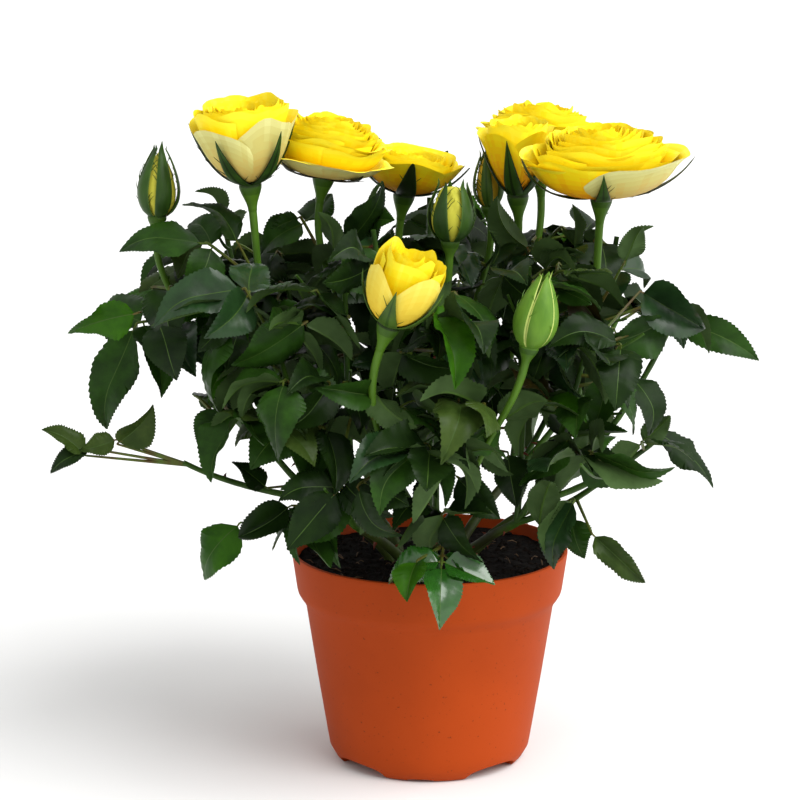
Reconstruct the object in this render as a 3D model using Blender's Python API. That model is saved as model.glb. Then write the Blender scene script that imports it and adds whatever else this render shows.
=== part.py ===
"""A miniature rose bush in its plastic pot, with yellow blooms.

Lengths are in millimetres, and each mesh is scaled to metres as it is made. The origin is
the middle of the pot's flat underside. X runs across the front, Y towards the back, Z up.
"""

import math
import random

import bmesh
import bpy
from mathutils import Vector
from mathutils.bvhtree import BVHTree

MM = 0.001
SHARP_ANGLE = math.radians(30)
GAP = 0.3  # between neighbours that would touch
GOLDEN_ANGLE = math.radians(137.5)
UP = Vector((0, 0, 1))
NEARLY_UPRIGHT = 0.05  # sine of the angle under which a direction counts as upright

# ---------------------------------------------------------------- pot and soil
POT_SIDES = 32
POT_HEIGHT = 93
RIM_RADIUS = 60
COLLAR_HEIGHT = 69  # where the wall steps out into the deep collar under the rim
FLOOR_HEIGHT = 7
WALL = 1.5
POT_OUTSIDE = [  # radius, height
    (39.0, 0), (41.6, 1.6), (43.8, 5.5), (54.2, COLLAR_HEIGHT), (54.8, 70.5), (57.3, 74.5),
    (58.0, 78), (RIM_RADIUS, POT_HEIGHT - 0.8), (RIM_RADIUS - 0.6, POT_HEIGHT),
]
POT_INSIDE = [  # radius of the outside there, height
    (RIM_RADIUS - 0.1, POT_HEIGHT), (57.5, 76), (54.3, COLLAR_HEIGHT + 0.5), (44.2, FLOOR_HEIGHT),
]
ARCHES = 4
ARCH_TURN = math.radians(-48)  # from the front, towards the right
ARCH_HALF_WIDTH = 14
ARCH_HEIGHT = 5
ARCH_INNER_END = 26
ARCH_STEPS = 6
ARCH_SQUARENESS = 0.7
BELOW = 3  # that the cutters reach under the pot
NOTCH_TURN = math.radians(-6)
NOTCH_HALF_WIDTH = 6
NOTCH_HEIGHT = 1.3
NOTCH_INNER_END = 36
DRAIN_RADIUS = 4
DRAIN_SIDES = 8
DRAIN_AT = 32
SOIL_TOP = 88
SOIL_GAP = 0.4
SOIL_OUTSIDE = [  # radius of the pot's outside there, height
    (44.2, FLOOR_HEIGHT + SOIL_GAP), (54.2, COLLAR_HEIGHT + 0.6), (57.3, 76.3), (59.1, SOIL_TOP),
]

# ---------------------------------------------------------------- canes and shoots
CANE_SIDES = 5
SHOOT_SIDES = 3
SHOOT_STEPS = 4
CANE_FOOT_RADIUS = 2.4
CANE_TIP_RADIUS = 1.8
SHOOT_TIP_RADIUS = 1.1
FOOT_SPREAD = 0.36  # a cane's foot stands at this share of its fork's distance from the axis
STUB = 6  # of the shoots' common root above a cane
SHOOT_START = 0.6  # of the stub's length
SHOOT_BEND = 0.6  # of the way along a shoot in plan
SHOOT_RISE = 0.36  # of its rise, at the bend
SHOOT_SAG = -0.5  # the same of a shoot that ends below its start
CANE_BEND = 0.3  # share of its lean that a cane has reached halfway up
SHOOT_ROOT = 0.85  # of a cane's tip radius

# Each mass of leaves has the middle of its space in plan, a cane up to its fork, and the ends of
# the shoots that grow from the fork. A flower or bud stalk grows on from an end that names one.
MASSES = {
    "left": {
        "seed": (-116, -6), "fork": (-46, -6, 114),
        "ends": {
            "bloom_1": (-73, -22, 220), "bud_1": (-114, -10, 222), "low": (-104, -30, 138),
            "high": (-88, 10, 232),
        },
    },
    "front_left": {
        "seed": (-68, -80), "fork": (-30, -32, 110),
        "ends": {"middle": (-64, -60, 198), "low": (-38, -74, 146), "high": (-36, -42, 230)},
    },
    "front": {
        "seed": (2, -106), "fork": (2, -36, 108),
        "ends": {
            "bloom_7": (-24.5, -84, 172), "bud_4": (24, -80, 166), "low": (5, -68, 112),
            "high": (2, -54, 216),
        },
    },
    "front_right": {
        "seed": (72, -78), "fork": (34, -28, 110),
        "ends": {"middle": (64, -56, 196), "low": (76, -62, 144), "high": (40, -44, 224)},
    },
    "right": {
        "seed": (118, -4), "fork": (46, -8, 114),
        "ends": {
            "bloom_6": (70, -20, 206), "middle": (104, -6, 196), "low": (96, -2, 140),
            "high": (80, 10, 228),
        },
    },
    "back_right": {
        "seed": (78, 78), "fork": (34, 32, 114),
        "ends": {"bloom_4": (46, 49, 226), "middle": (88, 62, 190), "low": (62, 84, 150)},
    },
    "back": {
        "seed": (0, 108), "fork": (0, 42, 112),
        "ends": {
            "bud_5": (36, 90, 156), "bloom_8": (-8, 92, 154), "middle": (-24, 84, 206),
            "high": (12, 72, 236),
        },
    },
    "back_left": {
        "seed": (-76, 76), "fork": (-36, 32, 114),
        "ends": {"middle": (-66, 58, 214), "low": (-92, 58, 156), "back": (-52, 92, 160)},
    },
    "centre": {
        "seed": (0, 4), "fork": (0, 2, 112),
        "ends": {
            "bloom_2": (-43.5, 0, 220), "bloom_3": (-13, 29, 218), "bloom_5": (31, 10, 214),
            "bud_2": (6.3, -25, 212), "bud_3": (22.7, 26, 220), "middle": (-24, -24, 236),
            "high": (0, 44, 240),
        },
    },
}

# ---------------------------------------------------------------- leaves
LEAFLET_LENGTH = 45
LEAFLET_WIDTH = 0.66  # of its length
LEAFLET_THICK = 0.9
LEAFLET_ROOT = 0.16  # share of a leaflet that may lie inside the stalk it grows from
PETIOLE_ROOT = 0.3  # the same of the leaf stalk's first stretch, inside its shoot
PAIR_STATIONS = (0.84, 0.56)  # shares of a leaf's stalk at which its pairs of side leaflets stand
PETIOLE_RADIUS = 0.8
PETIOLE_SIDES = 3
PETIOLE_BEND = 0.55
PETIOLE_ARCH = 0.16
LEAF_SPACING = 20.5  # along a shoot
LEAF_TRIES = 8  # turns about the shoot that are tried for each leaf
LEAST_LEAFLETS = 2
LEAF_START = 0.2  # share of a shoot that is bare
ROLL_SPREAD = 35  # degrees
SIDE_SPREAD = (70, 86)  # degrees from the leaf's stalk
SIDE_DIP = (0.15, 0.75)
SIDE_SIZE = 0.88  # of the end leaflet, less SIDE_SHRINK for the second pair
SIDE_SHRINK = 0.12
LEAST_SIZE = 0.75  # of the full length, that side leaflets are reckoned from
WIDTH_SPREAD = (0.92, 1.06)
LEAF_RISE = (-8, 20)  # degrees, and UPPER_RISE more at the top of a shoot
UPPER_RISE = 16
LEAF_DROOP = (30, 78)  # degrees below level, of the end leaflet
LEAF_SWING = 0.4
LEAF_SIZES = (0.82, 1.12)
LEAF_REACHES = (0.7, 1.15)
UPPER_SHORTER = 0.32  # share by which a leaf's stalk is shorter at the top of a shoot
TWO_PAIRS = 0.6  # share of the leaves that have two pairs of side leaflets
SEARCH_STEPS = 20
DOWNWARD_COST = 0.6  # how much a leaf at the outline avoids growing from above itself
WIDEST_AT = 0.42  # of a leaflet's length
SHOULDER_AT = 0.76
SHOULDER_WIDTH = 0.34  # half the leaflet's width there, as a share of its full width
FOLD = 0.10  # rise of the edges above the rib, as a share of the width
ARCH = 0.05  # rise of the rib's middle, as a share of the length
SHADE_RADIUS = 42  # no leaf grows nearer the axis than this below the shade's height
SHADE_HEIGHT = 165
LEAF_REACH = 34  # from the shoot to the foot of the end leaflet
OUTWARD_PULL = 1.2
CROWN_HALF_WIDTH = 128
CROWN_HALF_DEPTH = 122
CROWN_OUTLINE = [  # height, share of the crown's half width and depth
    (84, 0.62), (100, 0.78), (120, 0.86), (160, 1.0), (205, 1.0), (230, 0.86), (258, 0.60),
]
SPACE_MARGIN = 0.9  # a leaf keeps this far inside its mass's own space
LIMB_CLEARANCE = 0.5
LEAF_CLEARANCE = 0.1
POT_CLEARANCE = 2.2

# The leaves that stand at the crown's outline: foot and tip of the end leaflet, pairs of side
# leaflets behind it, and the roll of the leaf about its own stalk in degrees.
OUTLINE_LEAVES = [
    ((-145, -30, 141), (-163, -30, 153), 2, 30),
    ((-124, -20, 195), (-145, -22, 152), 1, 40),
    ((-94, -28, 224), (-129, -30, 226), 1, 45),
    ((-77, -54, 210), (-114, -60, 202), 1, 30),
    ((-120, 6, 206), (-134, 8, 202), 1, 30),
    ((-82, -42, 111), (-97, -40, 89), 2, 30),
    ((-88, 6, 238), (-97, 8, 250), 1, 30),
    ((-50, -70, 206), (-80, -76, 188), 2, 40),
    ((-38, -82, 139), (-58, -90, 116), 1, 20),
    ((-30, -90, 142), (-16, -98, 122), 1, -10),
    ((4, -80, 107), (3, -93, 84), 2, 0),
    ((-24, -56, 226), (-44, -72, 222), 1, 40),
    ((28, -50, 222), (52, -62, 206), 1, -30),
    ((-56, 12, 236), (-68, 6, 232), 1, 30),
    ((-25, 10, 236), (-20, 10, 252), 1, 20),
    ((42, -6, 224), (28, -8, 248), 1, 0),
    ((62, 2, 218), (62, 4, 243), 1, 0),
    ((82, 6, 214), (90, 8, 235), 1, -20),
    ((88, -2, 224), (102, -4, 238), 1, -20),
    ((104, -16, 196), (139, -16, 179), 2, -35),
    ((76, -34, 196), (84, -44, 174), 1, -30),
    ((90, -14, 143), (102, -16, 156), 1, -20),
    ((97, -12, 146), (124, -12, 122), 2, -35),
    ((64, -64, 151), (96, -70, 138), 2, -35),
    ((66, -64, 116), (88, -66, 95), 2, -30),
    ((44, -62, 118), (50, -68, 142), 0, 0),
]

# ---------------------------------------------------------------- blooms and buds
STALK_RADIUS = 1.8
STALK_SIDES = 4
HIP_LENGTH = 12
HIP_RADIUS = 4.8
HIP_OVERLAP = 2
HIP_SHAPE = ((0.62, -0.5), (1, -0.12))  # share of the radius, share of the length from the top
OUTER_PETALS = 5
FOOT_SHARE = 0.2  # of the way up a bloom's outside, where its petals leave the hip
NOTCHES = ((0.62, 0.04), (1.0, 0.12))  # share of the way up, depth between two outer petals
# Inside the outer ring: share of the radius, of the height between the rims, less a share of the
# height, and depth between two petals.
HEART = ((0.72, 0.6, 0, -0.08), (0.56, 0.6, 0.12, 0), (0.40, 1, 0, 0.08))
GROOVE = (0.82, 0.80)  # share of the radius and of the outer rim's height
HEART_MIDDLE = 0.84  # of the height
NOTCH_DROP = 0.4
SEPALS = 5
SEPAL_THICK = 1.0
SEPAL_STANDS_OFF = 1.0
SEPAL_WIDEST_AT = 0.45
SEPAL_FOOT = (0.5, -1.4)  # share of the hip's radius, height
BLOOM_SEPAL_REACH = 0.78  # of the way up the outside
BLOOM_SEPAL_WIDTH = 5
BUD_RINGS = (0.0, 0.25, 0.55, 0.85)
BUD_SEPAL_WIDTH = 0.9  # of the bud's radius
STALK_BENDS = (0.45, 0.35)  # shares of a stalk over which it keeps its shoot's and its hip's heading
STALK_STEPS = (0, 0.33, 0.67, 1)

# Top of the hip, axis, radius over the petals, height, height of the outer rim as a share of
# that, and how far the outer petals bend out.
BLOOMS = {
    "bloom_1": ((-75, -25, 256), (-0.08, -0.10, 1), 22, 36, 0.98, 0.10),
    "bloom_2": ((-45, 0, 256), (0.16, -0.06, 1), 27, 25, 0.50, 0.24),
    "bloom_3": ((-11, 30, 244), (0.14, -0.05, 1), 22, 20, 0.88, 0.12),
    "bloom_4": ((49, 55, 251), (-0.05, 0.04, 1), 26, 29, 0.64, 0.26),
    "bloom_5": ((37.5, 14, 246), (-0.04, -0.06, 1), 17.5, 34, 0.96, 0.08),
    "bloom_6": ((71, -20, 250), (0.05, -0.09, 1), 33.5, 29, 0.62, 0.28),
    "bloom_7": ((-17, -90, 209), (0.34, -0.22, 1), 14.5, 31, 0.98, 0.02),
    "bloom_8": ((-8, 102, 176), (-0.06, 0.34, 1), 17, 24, 0.85, 0.16),
}
# Top of the hip, axis, radius and length of the closed bud.
BUDS = {
    "bud_1": ((-115, -10, 240), (0.06, 0, 1), 8.5, 28),
    "bud_2": ((8, -25, 232), (0.04, -0.02, 1), 9.5, 23),
    "bud_3": ((26, 26, 239), (-0.06, 0, 1), 6.2, 22),
    "bud_4": ((38.5, -85, 199), (0.22, -0.05, 1), 8.2, 28),
    "bud_5": ((42, 99, 176), (0.14, 0.16, 1), 7.5, 25),
}
BUD_HIP_LENGTH = 8
BUD_HIP_RADIUS = 4.1


def material(name, colour, roughness):
    made = bpy.data.materials.new(name)
    made.use_nodes = True
    shader = made.node_tree.nodes["Principled BSDF"]
    shader.inputs["Base Color"].default_value = (*colour, 1)
    shader.inputs["Roughness"].default_value = roughness
    shader.inputs["Metallic"].default_value = 0
    return made


# ---------------------------------------------------------------- meshes as (points, faces)
def turned(profile, sides):
    """A closed solid of revolution about Z. The profile runs from the axis below to the axis above,
    up the outside."""
    points, rings = [], []
    for radius, height in profile:
        if radius == 0:
            rings.append([len(points)] * sides)
            points.append(Vector((0, 0, height)))
            continue
        rings.append(list(range(len(points), len(points) + sides)))
        for k in range(sides):
            angle = 2 * math.pi * k / sides
            points.append(Vector((radius * math.cos(angle), radius * math.sin(angle), height)))
    faces = []
    for low, high in zip(rings, rings[1:]):
        for k in range(sides):
            n = (k + 1) % sides
            ring = [low[k], low[n], high[n], high[k]]
            face = [i for j, i in enumerate(ring) if i != ring[j - 1]]
            if len(face) > 2:
                faces.append(face)
    return points, faces


def frame_along(axis):
    """Two unit vectors square to the axis and to each other."""
    axis = Vector(axis).normalized()
    side = axis.cross(UP)
    if side.length < NEARLY_UPRIGHT:
        side = Vector((1, 0, 0)) - axis * axis.x
    side.normalize()
    return axis, side, axis.cross(side)


def moved(mesh, origin, axis):
    """A mesh made about Z, set on the origin with Z along the axis."""
    points, faces = mesh
    axis, side, across = frame_along(axis)
    origin = Vector(origin)
    return [origin + side * p.x + across * p.y + axis * p.z for p in points], faces


def tube(line, radii, sides, edge=None, flat_foot=False):
    """A closed tube along a line of points, with a radius at each. One of its edges lies towards
    the direction that is given."""
    points, rings = [], []
    tangent = (line[1] - line[0]).normalized()
    side = edge or frame_along(UP if flat_foot else tangent)[1]
    for k, (centre, radius) in enumerate(zip(line, radii)):
        ahead, behind = line[min(k + 1, len(line) - 1)], line[max(k - 1, 0)]
        tangent = UP if flat_foot and k == 0 else (ahead - behind).normalized()
        side = (side - tangent * side.dot(tangent)).normalized()
        across = tangent.cross(side)
        rings.append(range(len(points), len(points) + sides))
        for n in range(sides):
            angle = 2 * math.pi * n / sides
            spoke = side * math.cos(angle) + across * math.sin(angle)
            points.append(centre + spoke * radius)
    faces = [list(reversed(rings[0])), list(rings[-1])]
    for low, high in zip(rings, rings[1:]):
        for n in range(sides):
            m = (n + 1) % sides
            faces.append([low[n], low[m], high[m], high[n]])
    return points, faces


def plate(rim, middle, normal, thick):
    """A thin closed blade: a rim of points, raised and sunk by half its thickness in the middle."""
    count = len(rim)
    area = sum(((a - middle).cross(b - middle) for a, b in zip(rim, rim[1:] + rim[:1])), Vector())
    if area.dot(normal) < 0:
        rim = rim[::-1]
    points = list(rim) + [middle + normal * thick / 2, middle - normal * thick / 2]
    faces = []
    for k in range(count):
        n = (k + 1) % count
        faces.append([k, n, count])
        faces.append([n, k, count + 1])
    return points, faces


def inflated(mesh, distance):
    """The mesh pushed out along its corners' normals."""
    points, faces = mesh
    normals = [Vector() for _ in points]
    for face in faces:
        a, b, c = (points[i] for i in face[:3])
        for i in face:
            normals[i] += (b - a).cross(c - a)
    return [p + n.normalized() * distance for p, n in zip(points, normals)], faces


def new_object(name, mesh, finishes, index=0):
    points, faces = mesh
    data = bpy.data.meshes.new(name)
    data.from_pydata([p * MM for p in points], [], faces)
    for finish in finishes:
        data.materials.append(finish)
    for face in data.polygons:
        face.material_index = index
    obj = bpy.data.objects.new(name, data)
    bpy.context.scene.collection.objects.link(obj)
    return obj


def keep_largest_body(data):
    """Drops the scraps that the union left loose, and the skin of any hollow that it sealed."""
    shape = bmesh.new()
    shape.from_mesh(data)
    left, skins = set(shape.faces), []
    while left:
        skin, front = [], [left.pop()]
        while front:
            face = front.pop()
            skin.append(face)
            for edge in face.edges:
                for other in edge.link_faces:
                    if other in left:
                        left.discard(other)
                        front.append(other)
        skins.append(skin)
    skins.sort(key=lambda skin: sum(face.calc_area() for face in skin))
    for skin in skins[:-1]:
        bmesh.ops.delete(shape, geom=skin, context="FACES")
    shape.to_mesh(data)
    shape.free()


def fused(name, pieces, finishes):
    """One object from pieces, which are (mesh, index of its finish), by one Boolean union."""
    meshes = [new_object(f"{name}_piece", mesh, finishes, index) for mesh, index in pieces]
    body, others = meshes[0], meshes[1:]
    body.name = name
    helpers = bpy.data.collections.new(f"{name}_pieces")
    bpy.context.scene.collection.children.link(helpers)
    for other in others:
        bpy.context.scene.collection.objects.unlink(other)
        helpers.objects.link(other)
    union = body.modifiers.new("union", "BOOLEAN")
    union.operation = "UNION"
    union.operand_type = "COLLECTION"
    union.collection = helpers
    union.solver = "MANIFOLD"
    graph = bpy.context.evaluated_depsgraph_get()
    made = bpy.data.meshes.new_from_object(body.evaluated_get(graph))
    body.modifiers.remove(union)
    body.data = made
    keep_largest_body(made)
    for other in others:
        bpy.data.objects.remove(other)
    bpy.data.collections.remove(helpers)
    return body


# ---------------------------------------------------------------- the plant's growth
NO_LEAF = ([], [], 0)


def bezier(a, b, c, t):
    return a * (1 - t) ** 2 + b * (2 * t * (1 - t)) + c * t**2


def curve(a, b, c, count):
    return [bezier(a, b, c, k / (count - 1)) for k in range(count)]


def cane_line(mass, count=4):
    """From the soil to the fork, leaning out as it rises."""
    fork = Vector(MASSES[mass]["fork"])
    foot = Vector((fork.x * FOOT_SPREAD, fork.y * FOOT_SPREAD, SOIL_TOP + GAP))
    bend = foot.lerp(fork, CANE_BEND)
    bend.z = (foot.z + fork.z) / 2
    return curve(foot, bend, fork, count)


def shoots_of(mass):
    """(name of its end, start, bend, end) of each shoot."""
    line = cane_line(mass)
    heading = (line[-1] - line[-2]).normalized()
    start = line[-1] + heading * (GAP + STUB * SHOOT_START)
    made = []
    for name, end in MASSES[mass]["ends"].items():
        end = Vector(end)
        bend = start.lerp(end, SHOOT_BEND)
        bend.z = start.z + (end.z - start.z) * (SHOOT_RISE if end.z > start.z else SHOOT_SAG)
        made.append((name, start, bend, end))
    return made


def compound_leaf(attach, hub, tip, pairs, roll, draw):
    """(points of the leaf's stalk, leaflets). A leaflet is (number of the point that it grows from,
    tip, normal, width), and the first one stands at the stalk's end."""
    bend = attach.lerp(hub, PETIOLE_BEND) + UP * (hub - attach).length * PETIOLE_ARCH
    stations = sorted(PAIR_STATIONS[:pairs])
    stalk = [attach, *(bezier(attach, bend, hub, t) for t in stations), hub]
    along = (hub - bend).normalized()
    side = along.cross(UP)
    side = side.normalized() if side.length > NEARLY_UPRIGHT else Vector((1, 0, 0))
    turn = math.radians(roll)
    side = (side * math.cos(turn) + side.cross(along) * math.sin(turn)).normalized()
    face = side.cross(along).normalized()
    length = (tip - hub).length
    end_face = side.cross((tip - hub).normalized()).normalized()
    leaflets = [(pairs + 1, tip, end_face, length * LEAFLET_WIDTH)]
    for pair in range(pairs):
        size = max(length, LEAFLET_LENGTH * LEAST_SIZE) * (SIDE_SIZE - SIDE_SHRINK * pair)
        for hand in (-1, 1):
            spread = math.radians(draw.uniform(*SIDE_SPREAD))
            dip = draw.uniform(*SIDE_DIP)
            out = side * hand * math.sin(spread) + along * math.cos(spread) - face * dip
            out.normalize()
            normal = (face - out * face.dot(out)).normalized()
            width = size * LEAFLET_WIDTH * draw.uniform(*WIDTH_SPREAD)
            number = pairs - pair
            leaflets.append((number, stalk[number] + out * size, normal, width))
    return stalk, leaflets


def nearest_on_shoots(mass, point):
    """The place on the mass's shoots that a leaf reaching the point grows from."""
    best = None
    for _, start, bend, end in shoots_of(mass):
        for k in range(1, SEARCH_STEPS):
            place = bezier(start, bend, end, k / SEARCH_STEPS)
            cost = (place - point).length + max(0, place.z - point.z) * DOWNWARD_COST
            if best is None or cost < best[0]:
                best = (cost, place)
    return best[1]


def mass_at(point):
    def distance(mass):
        x, y = MASSES[mass]["seed"]
        return math.hypot(point.x - x, point.y - y)

    return min(MASSES, key=distance)


def outline_leaves(mass):
    """The ways in which each of the mass's leaves at the outline may be rolled about its stalk."""
    draw = random.Random(f"outline {mass}")
    leaves = []
    for hub, tip, pairs, roll in OUTLINE_LEAVES:
        hub, tip = Vector(hub), Vector(tip)
        if mass_at(hub) == mass:
            attach = nearest_on_shoots(mass, hub)
            rolls = [
                roll + draw.uniform(-ROLL_SPREAD, ROLL_SPREAD) * attempt / LEAF_TRIES
                for attempt in range(LEAF_TRIES)
            ]
            leaves.append([compound_leaf(attach, hub, tip, pairs, turn, draw) for turn in rolls])
    return leaves


def leaf_buds(mass):
    """(place on a shoot, share of the way up it, turn about it) of each leaf that the rule gives."""
    draw = random.Random(f"buds {mass}")
    places = []
    for _, start, bend, end in shoots_of(mass):
        count = max(3, round((end - start).length / LEAF_SPACING))
        turn = draw.uniform(0, 2 * math.pi)
        for k in range(count):
            t = LEAF_START + (1 - LEAF_START) * (k + 0.5) / count
            turn += GOLDEN_ANGLE
            place = bezier(start, bend, end, t)
            if math.hypot(place.x, place.y) > SHADE_RADIUS or place.z > SHADE_HEIGHT:
                places.append((place, t, turn))
    return places


def ruled_leaf(attach, t, turn, draw):
    """The leaf that grows at this turn about its shoot, pulled outward from the plant's middle."""
    heading = Vector((math.cos(turn), math.sin(turn), 0))
    heading += Vector((attach.x, attach.y, 0)) / CROWN_HALF_WIDTH * OUTWARD_PULL
    heading.normalize()
    rise = math.radians(draw.uniform(*LEAF_RISE) + UPPER_RISE * t)
    reach = LEAF_REACH * draw.uniform(*LEAF_REACHES) * (1 - UPPER_SHORTER * t)
    hub = attach + (heading * math.cos(rise) + UP * math.sin(rise)) * reach
    droop = math.radians(draw.uniform(*LEAF_DROOP))
    length = LEAFLET_LENGTH * draw.uniform(*LEAF_SIZES)
    swing = Vector((-heading.y, heading.x, 0)) * draw.uniform(-LEAF_SWING, LEAF_SWING)
    ahead = (heading + swing).normalized()
    tip = hub + (ahead * math.cos(droop) - UP * math.sin(droop)) * length
    pairs = 2 if draw.random() < TWO_PAIRS else 1
    return compound_leaf(attach, hub, tip, pairs, draw.uniform(-ROLL_SPREAD, ROLL_SPREAD), draw)


def in_crown(point):
    across = math.hypot(point.x / CROWN_HALF_WIDTH, point.y / CROWN_HALF_DEPTH)
    for (low, wide), (high, wider) in zip(CROWN_OUTLINE, CROWN_OUTLINE[1:]):
        if low <= point.z <= high:
            return across < wide + (wider - wide) * (point.z - low) / (high - low)
    return False


def in_space(point, mass):
    """Whether the point is nearer in plan to the mass's seed than to any other, by the margin."""
    own = Vector((*MASSES[mass]["seed"], 0))
    flat = Vector((point.x, point.y, 0))
    for name, other in MASSES.items():
        seed = Vector((*other["seed"], 0))
        if name == mass:
            continue
        beyond = ((flat - seed).length_squared - (flat - own).length_squared) / 2
        if beyond / (seed - own).length < SPACE_MARGIN:
            return False
    return True


def off_pot(point):
    across = math.hypot(point.x, point.y)
    over_soil = across < RIM_RADIUS - WALL - POT_CLEARANCE and point.z > SOIL_TOP + POT_CLEARANCE
    return over_soil or across > RIM_RADIUS + POT_CLEARANCE or point.z > POT_HEIGHT + POT_CLEARANCE


def leaflet_solid(foot, tip, normal, width):
    """A pointed oval blade, folded a little along its rib."""
    along = tip - foot
    side = along.normalized().cross(normal).normalized()
    fold = normal * width * FOLD
    half, shoulder = side * width / 2, side * width * SHOULDER_WIDTH
    low, high = foot + along * WIDEST_AT + fold, foot + along * SHOULDER_AT + fold
    rim = [foot, low + half, high + shoulder, tip, high - shoulder, low - half]
    middle = foot.lerp(tip, 0.5) + normal * along.length * ARCH
    return plate(rim, middle, normal, LEAFLET_THICK)


# ---------------------------------------------------------------- flowers
def bloom_curve(v, radius, height, flare):
    """Radius and height of a bloom's outside, from its foot at v = 0 to its rim at 1."""
    swell = math.sin(0.5 * math.pi * v)
    r = 1.5 + (radius / (1 + flare) - 1.5) * swell * (1 + flare * v**4)
    return r, height * (1 - math.cos(0.5 * math.pi * v)) - flare * radius * 0.35 * v**6


def bud_curve(v, radius, height):
    """The same of a closed bud, which tapers to its tip."""
    return radius * math.sin(math.pi * (0.06 + 0.94 * v) ** 0.75) ** 0.8, height * v


def rosette(radius, height, rim, flare):
    """A closed bloom: an outer ring of petals, a groove, a second ring between them, and the heart.
    Each side of the ring is a petal's middle or the notch between two."""
    outer = height * rim
    rings = [
        (*bloom_curve(v, radius, outer, flare), notch) for v, notch in ((FOOT_SHARE, 0), *NOTCHES)
    ]
    rings.append((radius * GROOVE[0], outer * GROOVE[1], 0))
    for across, rise, drop, notch in HEART:
        rings.append((radius * across, outer + (height - outer) * rise - height * drop, notch))
    sides = 2 * OUTER_PETALS
    profile = [(0, 0), *(ring[:2] for ring in rings), (0, height * HEART_MIDDLE)]
    points, faces = turned(profile, sides)
    for level, (_, _, notch) in enumerate(rings):
        for k in range(1, sides, 2):
            point = points[1 + level * sides + k]
            point.x *= 1 - notch
            point.y *= 1 - notch
            point.z -= notch * height * NOTCH_DROP
    return points, faces


def sepal_solid(turn, profile, tip, width):
    """A narrow pointed blade that stands a little off the profile, up to its share tip."""
    out = Vector((math.cos(turn), math.sin(turn), 0))
    side = Vector((-math.sin(turn), math.cos(turn), 0)) * width / 2
    low_r, low_z = profile(tip * SEPAL_WIDEST_AT)
    tip_r, tip_z = profile(tip)
    low = out * (low_r + SEPAL_STANDS_OFF) + UP * (low_z - SEPAL_STANDS_OFF)
    end = out * (tip_r + SEPAL_STANDS_OFF * 2) + UP * tip_z
    foot = out * HIP_RADIUS * SEPAL_FOOT[0] + UP * SEPAL_FOOT[1]
    away = (out - UP / 2).normalized()
    return plate([foot, low + side, end, low - side], low, away, SEPAL_THICK)


def hip_profile(length, radius):
    """From below the top of the stalk to just inside the flower."""
    shape = [(radius * across, length * height) for across, height in HIP_SHAPE]
    return [
        (0, -length - HIP_OVERLAP), (STALK_RADIUS * 1.1, -length - HIP_OVERLAP), *shape,
        (radius * 0.9, 0.8), (0, 0.8),
    ]


def stalk_solid(mass_end, hip_foot, axis):
    """From the end of its shoot to the foot of the hip."""
    _, _, bend, end = mass_end
    heading = (end - bend).normalized()
    start = end + heading * GAP
    reach = (hip_foot - start).length
    first = start + heading * reach * STALK_BENDS[0]
    last = hip_foot - axis * reach * STALK_BENDS[1]
    line = [
        bezier(start, first, last, t).lerp(bezier(first, last, hip_foot, t), t)
        for t in STALK_STEPS
    ]
    line.append(hip_foot + axis * HIP_OVERLAP)
    radii = [SHOOT_TIP_RADIUS] + [STALK_RADIUS] * (len(line) - 1)
    return tube(line, radii, STALK_SIDES)


def shoot_ending_in(name):
    for mass in MASSES:
        for shoot in shoots_of(mass):
            if shoot[0] == name:
                return shoot
    raise ValueError(f"no shoot ends in {name}")


def bloom(name, green, yellow):
    top, axis, radius, height, rim, flare = BLOOMS[name]
    axis, top = Vector(axis).normalized(), Vector(top)

    def outside(v):
        return bloom_curve(v, radius, height * rim, flare)

    parts = [
        (turned(hip_profile(HIP_LENGTH, HIP_RADIUS), SEPALS), 0),
        (rosette(radius, height, rim, flare), 1),
    ]
    for k in range(SEPALS):
        turn = 2 * math.pi * (k + 0.5) / SEPALS
        parts.append((sepal_solid(turn, outside, BLOOM_SEPAL_REACH, BLOOM_SEPAL_WIDTH), 0))
    pieces = [(stalk_solid(shoot_ending_in(name), top - axis * HIP_LENGTH, axis), 0)]
    pieces += [(moved(shape, top, axis), index) for shape, index in parts]
    return fused(name, pieces, (green, yellow))


def bud(name, green, yellow):
    top, axis, radius, length = BUDS[name]
    axis, top = Vector(axis).normalized(), Vector(top)

    def outside(v):
        return bud_curve(v, radius, length)

    body = [(0, -1), *(outside(v) for v in BUD_RINGS), (0, length)]
    parts = [
        (turned(hip_profile(BUD_HIP_LENGTH, BUD_HIP_RADIUS), SEPALS), 0),
        (turned(body, SEPALS), 1),
    ]
    for k in range(SEPALS):
        turn = 2 * math.pi * (k + 0.5) / SEPALS
        parts.append((sepal_solid(turn, outside, 1, radius * BUD_SEPAL_WIDTH), 0))
    pieces = [(stalk_solid(shoot_ending_in(name), top - axis * BUD_HIP_LENGTH, axis), 0)]
    pieces += [(moved(shape, top, axis), index) for shape, index in parts]
    return fused(name, pieces, (green, yellow))


# ---------------------------------------------------------------- pot, soil, canes, masses
def cutter(name, mesh):
    made = new_object(name, mesh, ())
    made.hide_render = True
    made.display_type = "WIRE"
    return made


def arch_cutter(turn, half_width, height, start, end):
    """A round-topped bar that lies along the radius at this turn from the front."""
    out = Vector((math.sin(turn), -math.cos(turn), 0))
    side = Vector((math.cos(turn), math.sin(turn), 0))
    section = [(-half_width, -BELOW)]
    for k in range(ARCH_STEPS + 1):
        angle = math.pi * k / ARCH_STEPS
        section.append((-half_width * math.cos(angle), height * math.sin(angle) ** ARCH_SQUARENESS))
    section.append((half_width, -BELOW))
    points = [out * at + side * x + UP * z for at in (start, end) for x, z in section]
    count = len(section)
    faces = [list(range(count)), list(reversed(range(count, 2 * count)))]
    for k in range(count):
        n = (k + 1) % count
        faces.append([k, k + count, n + count, n])
    return points, faces


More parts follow.
